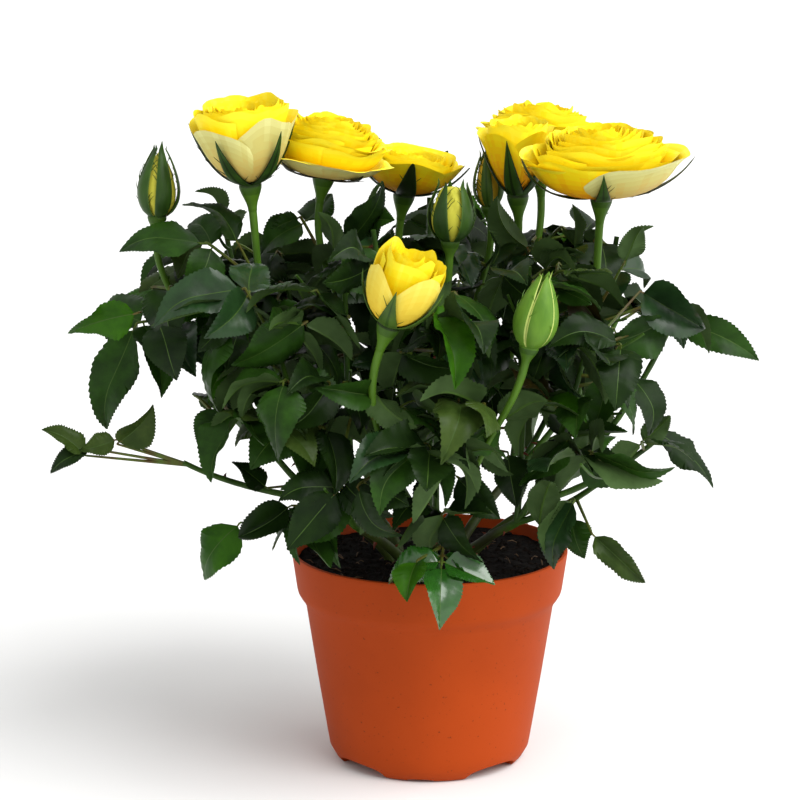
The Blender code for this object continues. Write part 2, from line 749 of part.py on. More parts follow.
def pot(finish):
    inside = [(radius - WALL, height) for radius, height in POT_INSIDE]
    profile = [(0, 0), *POT_OUTSIDE, *inside, (0, FLOOR_HEIGHT)]
    body = new_object("pot", turned(profile, POT_SIDES), (finish,))
    for quarter in range(ARCHES):
        step = quarter * 2 * math.pi / ARCHES
        turn = ARCH_TURN + step
        arch = arch_cutter(turn, ARCH_HALF_WIDTH, ARCH_HEIGHT, ARCH_INNER_END, RIM_RADIUS)
        turn = NOTCH_TURN + step
        notch = arch_cutter(turn, NOTCH_HALF_WIDTH, NOTCH_HEIGHT, NOTCH_INNER_END, RIM_RADIUS)
        top = FLOOR_HEIGHT + 2
        drain = [(0, -BELOW), (DRAIN_RADIUS, -BELOW), (DRAIN_RADIUS, top), (0, top)]
        drain = turned(drain, DRAIN_SIDES)
        centre = Vector((math.sin(ARCH_TURN + step), -math.cos(ARCH_TURN + step), 0)) * DRAIN_AT
        for name, shape in (("arch", arch), ("notch", notch), ("drain", moved(drain, centre, UP))):
            cut = body.modifiers.new(name, "BOOLEAN")
            cut.operation = "DIFFERENCE"
            cut.object = cutter(f"{name}_{quarter}", shape)
    body.data.shade_smooth()
    body.data.set_sharp_from_angle(angle=SHARP_ANGLE)
    return body


def soil(finish):
    """The root ball's peat, a plug that fills the pot to just under its rim."""
    wall = WALL + SOIL_GAP
    profile = [
        (0, FLOOR_HEIGHT + SOIL_GAP),
        *((radius - wall, height) for radius, height in SOIL_OUTSIDE),
        (0, SOIL_TOP),
    ]
    return new_object("soil", turned(profile, POT_SIDES), (finish,))


def taper(first, last, count):
    return [first + (last - first) * k / (count - 1) for k in range(count)]


def cane(mass, finish):
    line = cane_line(mass)
    radii = taper(CANE_FOOT_RADIUS, CANE_TIP_RADIUS, len(line))
    return new_object(f"cane_{mass}", tube(line, radii, CANE_SIDES, flat_foot=True), (finish,))


def clear_of(mesh, trees, clearance):
    points, faces = inflated(mesh, clearance)
    tree = BVHTree.FromPolygons(points, faces)
    return not any(tree.overlap(other) for other in trees)


def shoot_tubes(mass):
    widest = CANE_TIP_RADIUS * SHOOT_ROOT
    radii = taper(widest, SHOOT_TIP_RADIUS, SHOOT_STEPS)
    return [
        tube(curve(start, bend, end, SHOOT_STEPS), radii, SHOOT_SIDES)
        for _, start, bend, end in shoots_of(mass)
    ]


def mass_stem(mass):
    line = cane_line(mass)
    heading = (line[-1] - line[-2]).normalized()
    stub = [line[-1] + heading * GAP, line[-1] + heading * STUB]
    return [tube(stub, [CANE_TIP_RADIUS] * 2, CANE_SIDES), *shoot_tubes(mass)]


def surface(mesh):
    return BVHTree.FromPolygons(*mesh)


def leaf_solids(leaf, limbs, own, allowed):
    """The leaf's solids, the surfaces of its leaflets without their roots, and how good it is. A
    leaflet is skipped where it would leave the points that are allowed, touch a limb or cross
    another."""
    stalk, leaflets = leaf
    solids, blades, last = [], [], 0
    for number, tip, normal, width in leaflets:
        foot = stalk[number]
        shape = leaflet_solid(foot, tip, normal, width)
        free = leaflet_solid(foot.lerp(tip, LEAFLET_ROOT), tip, normal, width)
        if not all(off_pot(point) and allowed(point) for point in shape[0]):
            continue
        if clear_of(shape, limbs, LIMB_CLEARANCE) and clear_of(free, own + blades, LEAF_CLEARANCE):
            solids.append(shape)
            blades.append(surface(free))
            last = max(last, number)
    if len(solids) < min(LEAST_LEAFLETS, len(leaflets)):
        return NO_LEAF
    beyond = (stalk[last] - stalk[last - 1]).normalized() * PETIOLE_RADIUS
    line = [*stalk[:last], stalk[last] + beyond]
    radii = [PETIOLE_RADIUS * 1.2] + [PETIOLE_RADIUS] * last
    stem = tube(line, radii, PETIOLE_SIDES, edge=-UP)
    free = tube([line[0].lerp(line[1], PETIOLE_ROOT), *line[1:]], radii, PETIOLE_SIDES, edge=-UP)
    inside = all(off_pot(point) and allowed(point) for point in stem[0])
    if not inside or not clear_of(stem, limbs, LIMB_CLEARANCE) or not clear_of(free, own, 0):
        return NO_LEAF
    return [stem, *solids], blades, len(solids) + 2 * (last == len(stalk) - 1)


def best_leaf(ways, limbs, own, allowed):
    """Of the ways in which a leaf may grow, the one that keeps its end and the most leaflets."""
    made = [leaf_solids(leaf, limbs, own, allowed) for leaf in ways]
    return max(made, key=lambda leaf: leaf[2])


def of_others(mass, solids):
    """The surfaces of the solids that other masses have."""
    return [surface(shape) for other in MASSES if other != mass for shape in solids[other]]


def grow_outline(limbs_of):
    """{mass: solids} and {mass: surfaces} of the leaves at the outline, which may stand in any
    space and so come first."""
    solids = {mass: [] for mass in MASSES}
    blades = {mass: [] for mass in MASSES}
    for mass in MASSES:
        limbs = limbs_of[mass] + of_others(mass, solids)
        for ways in outline_leaves(mass):
            made = best_leaf(ways, limbs, blades[mass], lambda _: True)
            solids[mass] += made[0]
            blades[mass] += [surface(shape) for shape in made[0][:1]] + made[1]
    return solids, blades


def leaf_mass(mass, limbs, outline, finish):
    """The shoots above a cane with their leaves."""
    solids, blades = outline
    stem = mass_stem(mass)
    pieces = stem + solids[mass]
    own = [surface(shape) for shape in stem] + blades[mass]
    limbs = limbs + of_others(mass, solids)
    draw = random.Random(f"leaves {mass}")
    for attach, t, turn in leaf_buds(mass):
        turns = [turn + attempt * GOLDEN_ANGLE for attempt in range(LEAF_TRIES)]
        ways = [ruled_leaf(attach, t, turn, draw) for turn in turns]
        made = best_leaf(ways, limbs, own, lambda point: in_crown(point) and in_space(point, mass))
        pieces += made[0]
        own += made[1]
    return fused(f"leaves_{mass}", [(piece, 0) for piece in pieces], (finish,))


def tree_of(obj):
    """The object's surface in millimetres, to test leaves against."""
    points = [p.co / MM for p in obj.data.vertices]
    faces = [list(face.vertices) for face in obj.data.polygons]
    return BVHTree.FromPolygons(points, faces)


def main():
    for obj in list(bpy.data.objects):
        bpy.data.objects.remove(obj)
    clay = material("terracotta plastic", (0.52, 0.10, 0.025), 0.55)
    peat = material("peat", (0.012, 0.009, 0.007), 0.95)
    bark = material("green cane", (0.10, 0.20, 0.03), 0.5)
    leaf = material("leaf", (0.02, 0.07, 0.015), 0.4)
    stem = material("flower stalk", (0.08, 0.22, 0.03), 0.45)
    petal = material("petal", (0.90, 0.62, 0.02), 0.5)
    pot(clay)
    soil(peat)
    limbs = []
    for name in BLOOMS:
        limbs.append(tree_of(bloom(name, stem, petal)))
    for name in BUDS:
        limbs.append(tree_of(bud(name, stem, petal)))
    for mass in MASSES:
        limbs.append(tree_of(cane(mass, bark)))
    limbs_of = {}
    for mass in MASSES:
        others = [shape for other in MASSES if other != mass for shape in mass_stem(other)]
        limbs_of[mass] = limbs + [surface(shape) for shape in others]
    outline = grow_outline(limbs_of)
    for mass in MASSES:
        leaf_mass(mass, limbs_of[mass], outline, leaf)


main()
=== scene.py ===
"""The looks of a miniature rose bush with yellow blooms in its plastic pot.

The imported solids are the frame. Every solid is replaced by a finer mesh in the same place. The
leaves grow by the same seeded rule as in the part's source, with more and smaller ones between.
Lengths are in millimetres, and each mesh is scaled to metres as it is made.
"""

import math  # noqa: E402
import random  # noqa: E402
from collections import namedtuple  # noqa: E402
from functools import partial  # noqa: E402

import bpy  # noqa: E402
import numpy as np  # noqa: E402
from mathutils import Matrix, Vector, noise  # noqa: E402
from mathutils.bvhtree import BVHTree  # noqa: E402


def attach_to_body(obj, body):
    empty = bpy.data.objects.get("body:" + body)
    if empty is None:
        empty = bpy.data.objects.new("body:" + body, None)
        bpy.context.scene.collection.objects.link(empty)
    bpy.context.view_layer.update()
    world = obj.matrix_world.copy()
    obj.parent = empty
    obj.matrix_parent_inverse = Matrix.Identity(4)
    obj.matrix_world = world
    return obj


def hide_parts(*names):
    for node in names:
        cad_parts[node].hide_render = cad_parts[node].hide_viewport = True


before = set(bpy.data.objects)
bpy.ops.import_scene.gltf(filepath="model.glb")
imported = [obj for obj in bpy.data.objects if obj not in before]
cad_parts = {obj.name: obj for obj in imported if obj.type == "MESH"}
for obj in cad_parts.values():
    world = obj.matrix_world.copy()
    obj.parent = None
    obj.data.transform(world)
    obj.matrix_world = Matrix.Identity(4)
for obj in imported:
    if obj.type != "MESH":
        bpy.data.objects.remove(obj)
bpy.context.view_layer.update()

MM = 0.001
SHARP_ANGLE = math.radians(50)  # between two faces, from which their edge is drawn sharp
POT_SHARP_ANGLE = math.radians(35)
GAP = 0.3  # between solids that touch on the plant
GOLDEN_ANGLE = math.radians(137.5)
UP = Vector((0, 0, 1))
NEARLY_UPRIGHT = 0.05  # sine of the angle under which a direction counts as upright

# ---------------------------------------------------------------- the plant, as in its source
POT_SIDES = 128
POT_HEIGHT = 93
RIM_RADIUS = 60
COLLAR_HEIGHT = 69  # where the wall steps out into the deep collar under the rim
FLOOR_HEIGHT = 7
WALL = 1.5
SOIL_TOP = 88
SOIL_GAP = 0.4
ARCHES = 4
ARCH_TURN = math.radians(-48)  # from the front, towards the right
ARCH_HALF_WIDTH = 14
ARCH_HEIGHT = 5
ARCH_INNER_END = 26
ARCH_SQUARENESS = 0.7
BELOW = 3  # that the cutters reach under the pot, and the canes under the peat
NOTCH_TURN = math.radians(-6)
NOTCH_HALF_WIDTH = 6
NOTCH_HEIGHT = 1.3
NOTCH_INNER_END = 36
DRAIN_RADIUS = 4
DRAIN_AT = 32

CANE_SIDES = 5
SHOOT_SIDES = 3
SHOOT_STEPS = 4
CANE_FOOT_RADIUS = 2.4
CANE_TIP_RADIUS = 1.8
SHOOT_TIP_RADIUS = 1.1
FOOT_SPREAD = 0.36  # a cane's foot stands at this share of its fork's distance from the axis
STUB = 6  # of the shoots' common root above a cane
SHOOT_START = 0.6  # of the stub's length
SHOOT_BEND = 0.6  # of the way along a shoot in plan
SHOOT_RISE = 0.36  # of its rise, at the bend
SHOOT_SAG = -0.5  # the same of a shoot that ends below its start
CANE_BEND = 0.3  # share of its lean that a cane has reached halfway up
SHOOT_ROOT = 0.85  # of a cane's tip radius

# Each mass of leaves has the middle of its space in plan, a cane up to its fork, and the ends of
# the shoots that grow from the fork. A flower or bud stalk grows on from an end that names one.
MASSES = {
    "left": {
        "seed": (-116, -6), "fork": (-46, -6, 114),
        "ends": {
            "bloom_1": (-73, -22, 220), "bud_1": (-114, -10, 222), "low": (-104, -30, 138),
            "high": (-88, 10, 232),
        },
    },
    "front_left": {
        "seed": (-68, -80), "fork": (-30, -32, 110),
        "ends": {"middle": (-64, -60, 198), "low": (-38, -74, 146), "high": (-36, -42, 230)},
    },
    "front": {
        "seed": (2, -106), "fork": (2, -36, 108),
        "ends": {
            "bloom_7": (-24.5, -84, 172), "bud_4": (24, -80, 166), "low": (5, -68, 112),
            "high": (2, -54, 216),
        },
    },
    "front_right": {
        "seed": (72, -78), "fork": (34, -28, 110),
        "ends": {"middle": (64, -56, 196), "low": (76, -62, 144), "high": (40, -44, 224)},
    },
    "right": {
        "seed": (118, -4), "fork": (46, -8, 114),
        "ends": {
            "bloom_6": (70, -20, 206), "middle": (104, -6, 196), "low": (96, -2, 140),
            "high": (80, 10, 228),
        },
    },
    "back_right": {
        "seed": (78, 78), "fork": (34, 32, 114),
        "ends": {"bloom_4": (46, 49, 226), "middle": (88, 62, 190), "low": (62, 84, 150)},
    },
    "back": {
        "seed": (0, 108), "fork": (0, 42, 112),
        "ends": {
            "bud_5": (36, 90, 156), "bloom_8": (-8, 92, 154), "middle": (-24, 84, 206),
            "high": (12, 72, 236),
        },
    },
    "back_left": {
        "seed": (-76, 76), "fork": (-36, 32, 114),
        "ends": {"middle": (-66, 58, 214), "low": (-92, 58, 156), "back": (-52, 92, 160)},
    },
    "centre": {
        "seed": (0, 4), "fork": (0, 2, 112),
        "ends": {
            "bloom_2": (-43.5, 0, 220), "bloom_3": (-13, 29, 218), "bloom_5": (31, 10, 214),
            "bud_2": (6.3, -25, 212), "bud_3": (22.7, 26, 220), "middle": (-24, -24, 236),
            "high": (0, 44, 240),
        },
    },
}

LEAFLET_LENGTH = 45
LEAFLET_WIDTH = 0.66  # of its length
LEAFLET_THICK = 0.9
LEAFLET_ROOT = 0.16  # share of a leaflet that may lie inside the stalk it grows from
PETIOLE_ROOT = 0.3  # the same of the leaf stalk's first stretch, inside its shoot
PAIR_STATIONS = (0.84, 0.56)  # shares of a leaf's stalk at which its pairs of side leaflets stand
PETIOLE_RADIUS = 0.8
PETIOLE_BEND = 0.55
PETIOLE_ARCH = 0.16
LEAF_SPACING = 20.5  # along a shoot
LEAF_TRIES = 8  # turns about the shoot that are tried for each leaf
LEAST_LEAFLETS = 2
LEAF_START = 0.2  # share of a shoot that is bare
ROLL_SPREAD = 35  # degrees
SIDE_SPREAD = (70, 86)  # degrees from the leaf's stalk
SIDE_DIP = (0.15, 0.75)
SIDE_SIZE = 0.88  # of the end leaflet, less SIDE_SHRINK for the second pair
SIDE_SHRINK = 0.12
LEAST_SIZE = 0.75  # of the full length, that side leaflets are reckoned from
WIDTH_SPREAD = (0.92, 1.06)
LEAF_RISE = (-8, 20)  # degrees, and UPPER_RISE more at the top of a shoot
UPPER_RISE = 16
LEAF_DROOP = (30, 78)  # degrees below level, of the end leaflet
LEAF_SWING = 0.4
LEAF_SIZES = (0.82, 1.12)
LEAF_REACHES = (0.7, 1.15)
UPPER_SHORTER = 0.32  # share by which a leaf's stalk is shorter at the top of a shoot
TWO_PAIRS = 0.6  # share of the leaves that have two pairs of side leaflets
SEARCH_STEPS = 20
DOWNWARD_COST = 0.6  # how much a leaf at the outline avoids growing from above itself
WIDEST_AT = 0.42  # of a leaflet's length
SHOULDER_AT = 0.76
SHOULDER_WIDTH = 0.34  # half the leaflet's width there, as a share of its full width
FOLD = 0.10  # rise of the edges above the rib, as a share of the width
ARCH = 0.05  # rise of the rib's middle, as a share of the length
SHADE_RADIUS = 42  # no leaf grows nearer the axis than this below the shade's height
SHADE_HEIGHT = 165
LEAF_REACH = 34  # from the shoot to the foot of the end leaflet
OUTWARD_PULL = 1.2
CROWN_HALF_WIDTH = 128
CROWN_HALF_DEPTH = 122
CROWN_OUTLINE = [  # height, share of the crown's half width and depth
    (84, 0.62), (100, 0.78), (120, 0.86), (160, 1.0), (205, 1.0), (230, 0.86), (258, 0.60),
]
SPACE_MARGIN = 0.9  # a leaf keeps this far inside its mass's own space
LIMB_CLEARANCE = 0.5
LEAF_CLEARANCE = 0.1
POT_CLEARANCE = 2.2

# The leaves that stand at the crown's outline: foot and tip of the end leaflet, pairs of side
# leaflets behind it, and the roll of the leaf about its own stalk in degrees. Those whose looks the
# photo shows have a finish too, and the width of their end as a share of the source's. Two stand
# and branch a little otherwise than in the source: the third, and the one with leaf_young.
OUTLINE_LEAVES = [
    ((-145, -30, 141), (-163, -30, 153), 0, 50, "leaf_olive", 0.8),
    ((-124, -20, 195), (-145, -22, 152), 1, 40, "leaf_mid", 0.66),
    ((-94, -28, 231), (-129, -30, 234), 1, 45, "leaf_mid", 0.9),
    ((-77, -54, 210), (-114, -60, 202), 1, 30),
    ((-120, 6, 206), (-134, 8, 202), 1, 30),
    ((-80, -42, 115), (-97, -40, 89), 0, 75, "leaf_young", 1.0),
    ((-88, 6, 238), (-97, 8, 250), 1, 30),
    ((-50, -70, 206), (-80, -76, 188), 2, 40),
    ((-38, -82, 139), (-58, -90, 116), 1, 20),
    ((-30, -90, 142), (-16, -98, 122), 1, -10),
    ((4, -80, 107), (3, -93, 84), 2, 0, "leaf_shiny", 1.0),
    ((-24, -56, 226), (-44, -72, 222), 1, 40),
    ((28, -50, 222), (52, -62, 206), 1, -30),
    ((-56, 12, 236), (-68, 6, 232), 1, 30),
    ((-25, 10, 236), (-20, 10, 252), 1, 20),
    ((42, -6, 224), (28, -8, 248), 1, 0),
    ((62, 2, 218), (62, 4, 243), 1, 0),
    ((82, 6, 214), (90, 8, 235), 1, -20),
    ((88, -2, 224), (102, -4, 238), 1, -20),
    ((104, -16, 196), (139, -16, 179), 0, -35, "leaf_mid", 0.55),
    ((76, -34, 196), (84, -44, 174), 1, -30),
    ((90, -14, 143), (102, -16, 156), 1, -20),
    ((64, -64, 151), (96, -70, 138), 1, -35, "leaf_mid", 0.8),
    ((66, -64, 116), (88, -66, 95), 0, -40, "leaf_olive", 0.62),
    ((44, -62, 118), (50, -68, 142), 0, 0),
]

STALK_RADIUS = 1.8
BUD_STALK_RADIUS = 1.7
HIP_LENGTH = 12
HIP_RADIUS = 4.8
HIP_OVERLAP = 2
SEPALS = 5
BUD_HIP_LENGTH = 8
BUD_HIP_RADIUS = 4.1
STALK_BENDS = (0.45, 0.35)  # shares of a stalk over which it keeps its shoot's and its hip's heading
STALK_START = 0.72  # share of the way up its shoot where a flower's stalk begins

# Top of the hip, axis, radius over the petals and height.
BLOOMS = {
    "bloom_1": ((-75, -25, 256), (-0.08, -0.10, 1), 22, 36),
    "bloom_2": ((-45, 0, 256), (0.16, -0.06, 1), 27, 25),
    "bloom_3": ((-11, 30, 244), (0.14, -0.05, 1), 22, 20),
    "bloom_4": ((49, 55, 251), (-0.05, 0.04, 1), 26, 29),
    "bloom_5": ((37.5, 14, 246), (-0.04, -0.06, 1), 17.5, 34),
    "bloom_6": ((71, -20, 250), (0.05, -0.09, 1), 33.5, 29),
    "bloom_7": ((-17, -90, 209), (0.34, -0.22, 1), 14.5, 31),
    "bloom_8": ((-8, 102, 176), (-0.06, 0.34, 1), 17, 24),
}
# Top of the hip, axis, radius and length of the closed bud.
BUDS = {
    "bud_1": ((-115, -10, 240), (0.06, 0, 1), 8.5, 28),
    "bud_2": ((8, -25, 232), (0.04, -0.02, 1), 9.5, 23),
    "bud_3": ((26, 26, 239), (-0.06, 0, 1), 6.2, 22),
    "bud_4": ((38.5, -85, 199), (0.22, -0.05, 1), 8.2, 28),
    "bud_5": ((42, 99, 176), (0.14, 0.16, 1), 7.5, 25),
}

FLOWERS = {*BLOOMS, *BUDS}

# ---------------------------------------------------------------- what is finer here
LIFE_SIZE = 0.80  # of the source's leaflets
FINER_SPACING = 12  # of the leaves that are added on the shoots
FINER_SIZES = (0.55, 0.80)  # of theirs, as shares of the source's
FINER_DROOP = (-15, 70)  # of theirs, in degrees
OUTLINE_WIDTH = 0.84  # of the leaves at the outline, as a share of the source's
TWIG_SPACING = 15  # of the side twigs along a shoot
TWIG_START = 0.25  # share of the way up a shoot where they begin
TWIG_LENGTHS = (14, 32)
TWIG_RISE = (-5, 50)  # degrees over level
TWIG_SAG = 0.15
TWIG_RADIUS = 0.9
TWIG_TIP_RADIUS = 0.6
TWIG_LEAF_SPACING = 7
CANE_POINTS = 14  # along each limb, and sides round it
CANE_ROUND = 14
SHOOT_POINTS = 24
SHOOT_ROUND = 10
TWIG_POINTS = 7
TWIG_ROUND = 6
LEAF_ROWS = 18  # teeth a side, and rows across a leaflet
PETAL_ROWS = 11
PETAL_COLUMNS = 17

# Leaves that stand out at the front, listed as above. The first is an outline leaf of the source
# without its side leaflets, and the others aren't in the source. One that has no room is nudged.
FRONT_LEAVES = [
    ((97, -12, 146), (124, -12, 122), 0, -45, "leaf_dark", 0.6),
    ((-69, -66, 199), (-70, -74, 179), 0, 0, "leaf_olive", 1.0),
    ((-76, -62, 218), (-113, -70, 212), 1, 45, "leaf_blue", 0.8),
    ((-18, -58, 228), (-42, -66, 220), 0, 60, "leaf_mid", 1.0),
    ((-37, -70, 137), (-58, -84, 117), 1, 45, "leaf_mid", 1.0),
    ((-36, -70, 136), (-18, -82, 125), 0, -60, "leaf_dark", 1.0),
    ((-24, -80, 179), (-6, -90, 167), 1, -40, "leaf_mid", 1.0),
    ((-13, -74, 194), (10, -80, 187), 1, -60, "leaf_dark", 1.0),
    ((-112, -46, 201), (-106, -54, 179), 0, 0, "leaf_dark", 1.1),
    ((48, -66, 144), (46, -70, 124), 0, 180, "leaf_pale", 1.0),
    ((59, -60, 150), (95, -62, 138), 0, -55, "leaf_mid", 0.9),
    ((52, -58, 196), (60, -66, 173), 1, -30, "leaf_blue", 1.0),
    ((-1, -62, 128), (-14, -72, 112), 1, 35, "leaf_dark", 1.0),
    ((4, -66, 126), (19, -76, 108), 1, -35, "leaf_dark", 1.0),
    ((-121, -40, 204), (-150, -44, 196), 0, 50, "leaf_young", 0.85),
    ((-41, -66, 181), (-55, -74, 163), 1, 40, "leaf_dark", 1.0),
    ((28, -72, 166), (8, -80, 153), 1, 50, "leaf_mid", 1.0),
    ((73, -56, 179), (85, -62, 159), 1, -40, "leaf_mid", 1.0),
    ((97, -44, 202), (73, -50, 192), 0, 60, "leaf_mid", 1.2),
    ((86, -40, 213), (113, -44, 198), 0, -65, "leaf_blue", 1.2),
    ((-143, -30, 144), (-161, -32, 135), 0, 70, "leaf_dark", 0.7),
    ((-132, -30, 148), (-148, -32, 144), 0, 70, "leaf_olive", 1.0),
    ((-132, -30, 146), (-116, -34, 162), 0, -70, "leaf_olive", 1.1),
    ((-36, -12, 227), (-18, -10, 253), 0, 0, "leaf_dark", 1.0),
    ((-40, -20, 226), (-44, -24, 244), 0, 30, "leaf_dark", 1.1),
    ((-80, -14, 231), (-94, -14, 250), 0, 50, "leaf_dark", 1.0),
    ((80, -30, 223), (86, -34, 240), 0, 30, "leaf_olive", 1.0),
    ((25, -58, 156), (29, -62, 136), 0, -30, "leaf_dark", 1.1),
    ((32, -40, 145), (36, -44, 122), 0, -30, "leaf_dark", 1.1),
    ((-32, -66, 169), (-26, -72, 155), 0, -30, "leaf_dark", 1.1),
    ((10, -62, 140), (28, -70, 124), 0, -60, "leaf_dark", 1.0),
    ((82, -40, 179), (94, -44, 156), 0, -60, "leaf_dark", 1.0),
    ((58, -52, 120), (63, -56, 103), 0, -60, "leaf_mid", 1.2),
    ((57, -58, 216), (69, -64, 201), 0, -60, "leaf_bronze", 1.1),
    ((-58, -56, 126), (-80, -60, 114), 0, 70, "leaf_dark", 1.0),
    ((-68, -50, 132), (-82, -52, 144), 0, 70, "leaf_dark", 1.0),
    ((-6, -76, 110), (-10, -88, 96), 0, 30, "leaf_young", 1.2),
]
NUDGES = [(0, 0, 0), (0, -7, 0), (0, 7, 0), (0, -14, 0), (0, 14, 0), (0, -7, 5), (0, -7, -5)]
# Where one sees through beside the crown: left, right, lowest and highest, as seen from the front.
SKY = [(84, 150, 118, 190), (62, 150, 70, 119), (-150, -102, 140, 180), (-150, -80, 108, 138),
       (-62, -36, 229, 260), (-16, 4, 226, 260), (-80, -54, 126, 141), (98, 150, 205, 245)]

# ---------------------------------------------------------------- finishes
WHITE, BLACK = (1, 1, 1, 1), (0, 0, 0, 1)
GRAIN_ENDS = (0.36, 0.60)  # places on the grain's noise between which its two colours mix
SPOT_EDGE = 0.04  # of the spots' noise, over which their borders fade


def linear(red, green, blue):
    """A colour as it is seen on a screen, from 0 to 255, in the shader's own scale."""
    def one(c):
        c /= 255
        return c / 12.92 if c < 0.04045 else ((c + 0.055) / 1.055) ** 2.4

    return (one(red), one(green), one(blue), 1)


def node(tree, kind, **values):
    made = tree.nodes.new(kind)
    for name, value in values.items():
        if hasattr(made, name):
            setattr(made, name, value)
        else:
            made.inputs[name].default_value = value
    return made


def two_tones(tree, factor, low, high):
    """A colour that goes from one tone to the other, each (place on the factor, colour)."""
    ramp = node(tree, "ShaderNodeValToRGB")
    for element, (position, colour) in zip(ramp.color_ramp.elements, (low, high)):
        element.position = position
        element.color = colour
    tree.links.new(factor, ramp.inputs["Fac"])
    return ramp.outputs["Color"]


def finish(name, colour, other, roughness, scale=60, bump=0.1, relief=0.0004, stretch=(1, 1, 1),
           spots=None, **shader_values):
    """A finish whose colour wanders between two, with a fine relief of the same grain. Spots are
    (their colour, place on their noise under which they lie, their scale)."""
    made = bpy.data.materials.new(name)
    made.use_nodes = True
    tree = made.node_tree
    shader = tree.nodes["Principled BSDF"]
    place = node(tree, "ShaderNodeTexCoord")
    turn = node(tree, "ShaderNodeMapping", Scale=stretch)
    tree.links.new(place.outputs["Object"], turn.inputs["Vector"])
    grain = node(tree, "ShaderNodeTexNoise", Scale=scale, Detail=4, Roughness=0.6)
    tree.links.new(turn.outputs["Vector"], grain.inputs["Vector"])
    shown = two_tones(tree, grain.outputs["Fac"], (GRAIN_ENDS[0], other), (GRAIN_ENDS[1], colour))
    if spots:
        spot_colour, level, spot_scale = spots
        cells = node(tree, "ShaderNodeTexNoise", Scale=spot_scale, Detail=2)
        tree.links.new(place.outputs["Object"], cells.inputs["Vector"])
        picked = two_tones(tree, cells.outputs["Fac"], (level, WHITE), (level + SPOT_EDGE, BLACK))
        mix = node(tree, "ShaderNodeMix", data_type="RGBA")
        share, under, over = mix.inputs[0], mix.inputs[6], mix.inputs[7]
        tree.links.new(picked, share)
        tree.links.new(shown, under)
        over.default_value = spot_colour
        shown = mix.outputs[2]
    tree.links.new(shown, shader.inputs["Base Color"])
    lift = node(tree, "ShaderNodeBump", Strength=bump, Distance=relief)
    tree.links.new(grain.outputs["Fac"], lift.inputs["Height"])
    tree.links.new(lift.outputs["Normal"], shader.inputs["Normal"])
    shader.inputs["Roughness"].default_value = roughness
    for key, value in shader_values.items():
        shader.inputs[key.replace("_", " ")].default_value = value
    return made


def leaf_finish(name, colour, other, roughness=0.36, gloss=0.1):
    return finish(name, linear(*colour), linear(*other), roughness, scale=90, bump=0.35,
                  relief=0.0003, Specular_IOR_Level=gloss)


def petal_finish(name, colour, other):
    return finish(name, linear(*colour), linear(*other), 0.6, scale=45, bump=0.2,
                  relief=0.0002, Specular_IOR_Level=0.2)


def green_finish(name, colour, other, roughness=0.42):
    return finish(name, linear(*colour), linear(*other), roughness, scale=120, bump=0.25,
                  relief=0.0003, stretch=(1, 1, 0.3), Specular_IOR_Level=0.2)


FINISHES = [
    leaf_finish("leaf_dark", (24, 43, 11), (15, 31, 8)),
    leaf_finish("leaf_mid", (37, 67, 17), (26, 49, 12)),
    # Glossier leaves whose bluish base colour is partly painted sheen, standing in for the bluish
    # reflection of their gloss.
    leaf_finish("leaf_blue", (32, 58, 27), (21, 42, 18), 0.28, 0.3),
    leaf_finish("leaf_young", (46, 88, 9), (34, 70, 8)),
    leaf_finish("leaf_bronze", (54, 48, 17), (38, 32, 12)),
    leaf_finish("leaf_olive", (56, 74, 28), (42, 60, 20)),
    leaf_finish("leaf_shiny", (36, 84, 20), (28, 68, 16), 0.2, 0.8),
    leaf_finish("leaf_pale", (96, 118, 78), (78, 102, 62), 0.5),
    leaf_finish("leaf_under", (62, 84, 44), (50, 70, 34), 0.6),
    green_finish("leaf_rib", (62, 88, 32), (50, 74, 24)),
    green_finish("leaf_stalk", (76, 96, 32), (80, 62, 28)),
    green_finish("shoot_green", (54, 84, 22), (38, 64, 18)),
    green_finish("cane_bark", (60, 76, 28), (48, 52, 26), 0.5),
    green_finish("thorn_red", (100, 46, 30), (74, 38, 22)),
    green_finish("stalk_green", (76, 112, 28), (62, 96, 22)),
    green_finish("hip_green", (60, 92, 22), (48, 78, 20)),
    green_finish("hip_dark", (34, 52, 14), (44, 70, 20)),
    green_finish("sepal_green", (50, 80, 24), (36, 60, 18)),
    green_finish("sepal_mid", (72, 100, 34), (54, 80, 26)),
    green_finish("sepal_dark", (30, 46, 16), (22, 32, 12)),
    green_finish("sepal_fresh", (92, 130, 38), (74, 112, 30)),
    green_finish("sepal_edge", (176, 190, 104), (150, 168, 80)),
    green_finish("sepal_brown", (70, 50, 22), (52, 38, 18)),
    petal_finish("petal_bud", (204, 196, 70), (180, 178, 54)),
    finish("pot_plastic", linear(164, 62, 13), linear(156, 58, 11), 0.6, scale=14, bump=0.12,
           relief=0.0003, spots=(linear(110, 44, 14), 0.265, 800), Specular_IOR_Level=0.1),
    finish("peat", linear(18, 13, 10), linear(8, 6, 5), 0.95, scale=260, bump=1.0,
           relief=0.0015, Specular_IOR_Level=0.1),
    finish("peat_crumb", linear(28, 20, 15), linear(11, 8, 6), 0.9, scale=400, bump=0.8,
           relief=0.0008, Specular_IOR_Level=0.1),
    finish("peat_fibre", linear(96, 72, 46), linear(66, 48, 30), 0.85, scale=300, bump=0.5),
]
PETAL_SHADE = 0.97  # how much darker a petal's finish is where its grain is low
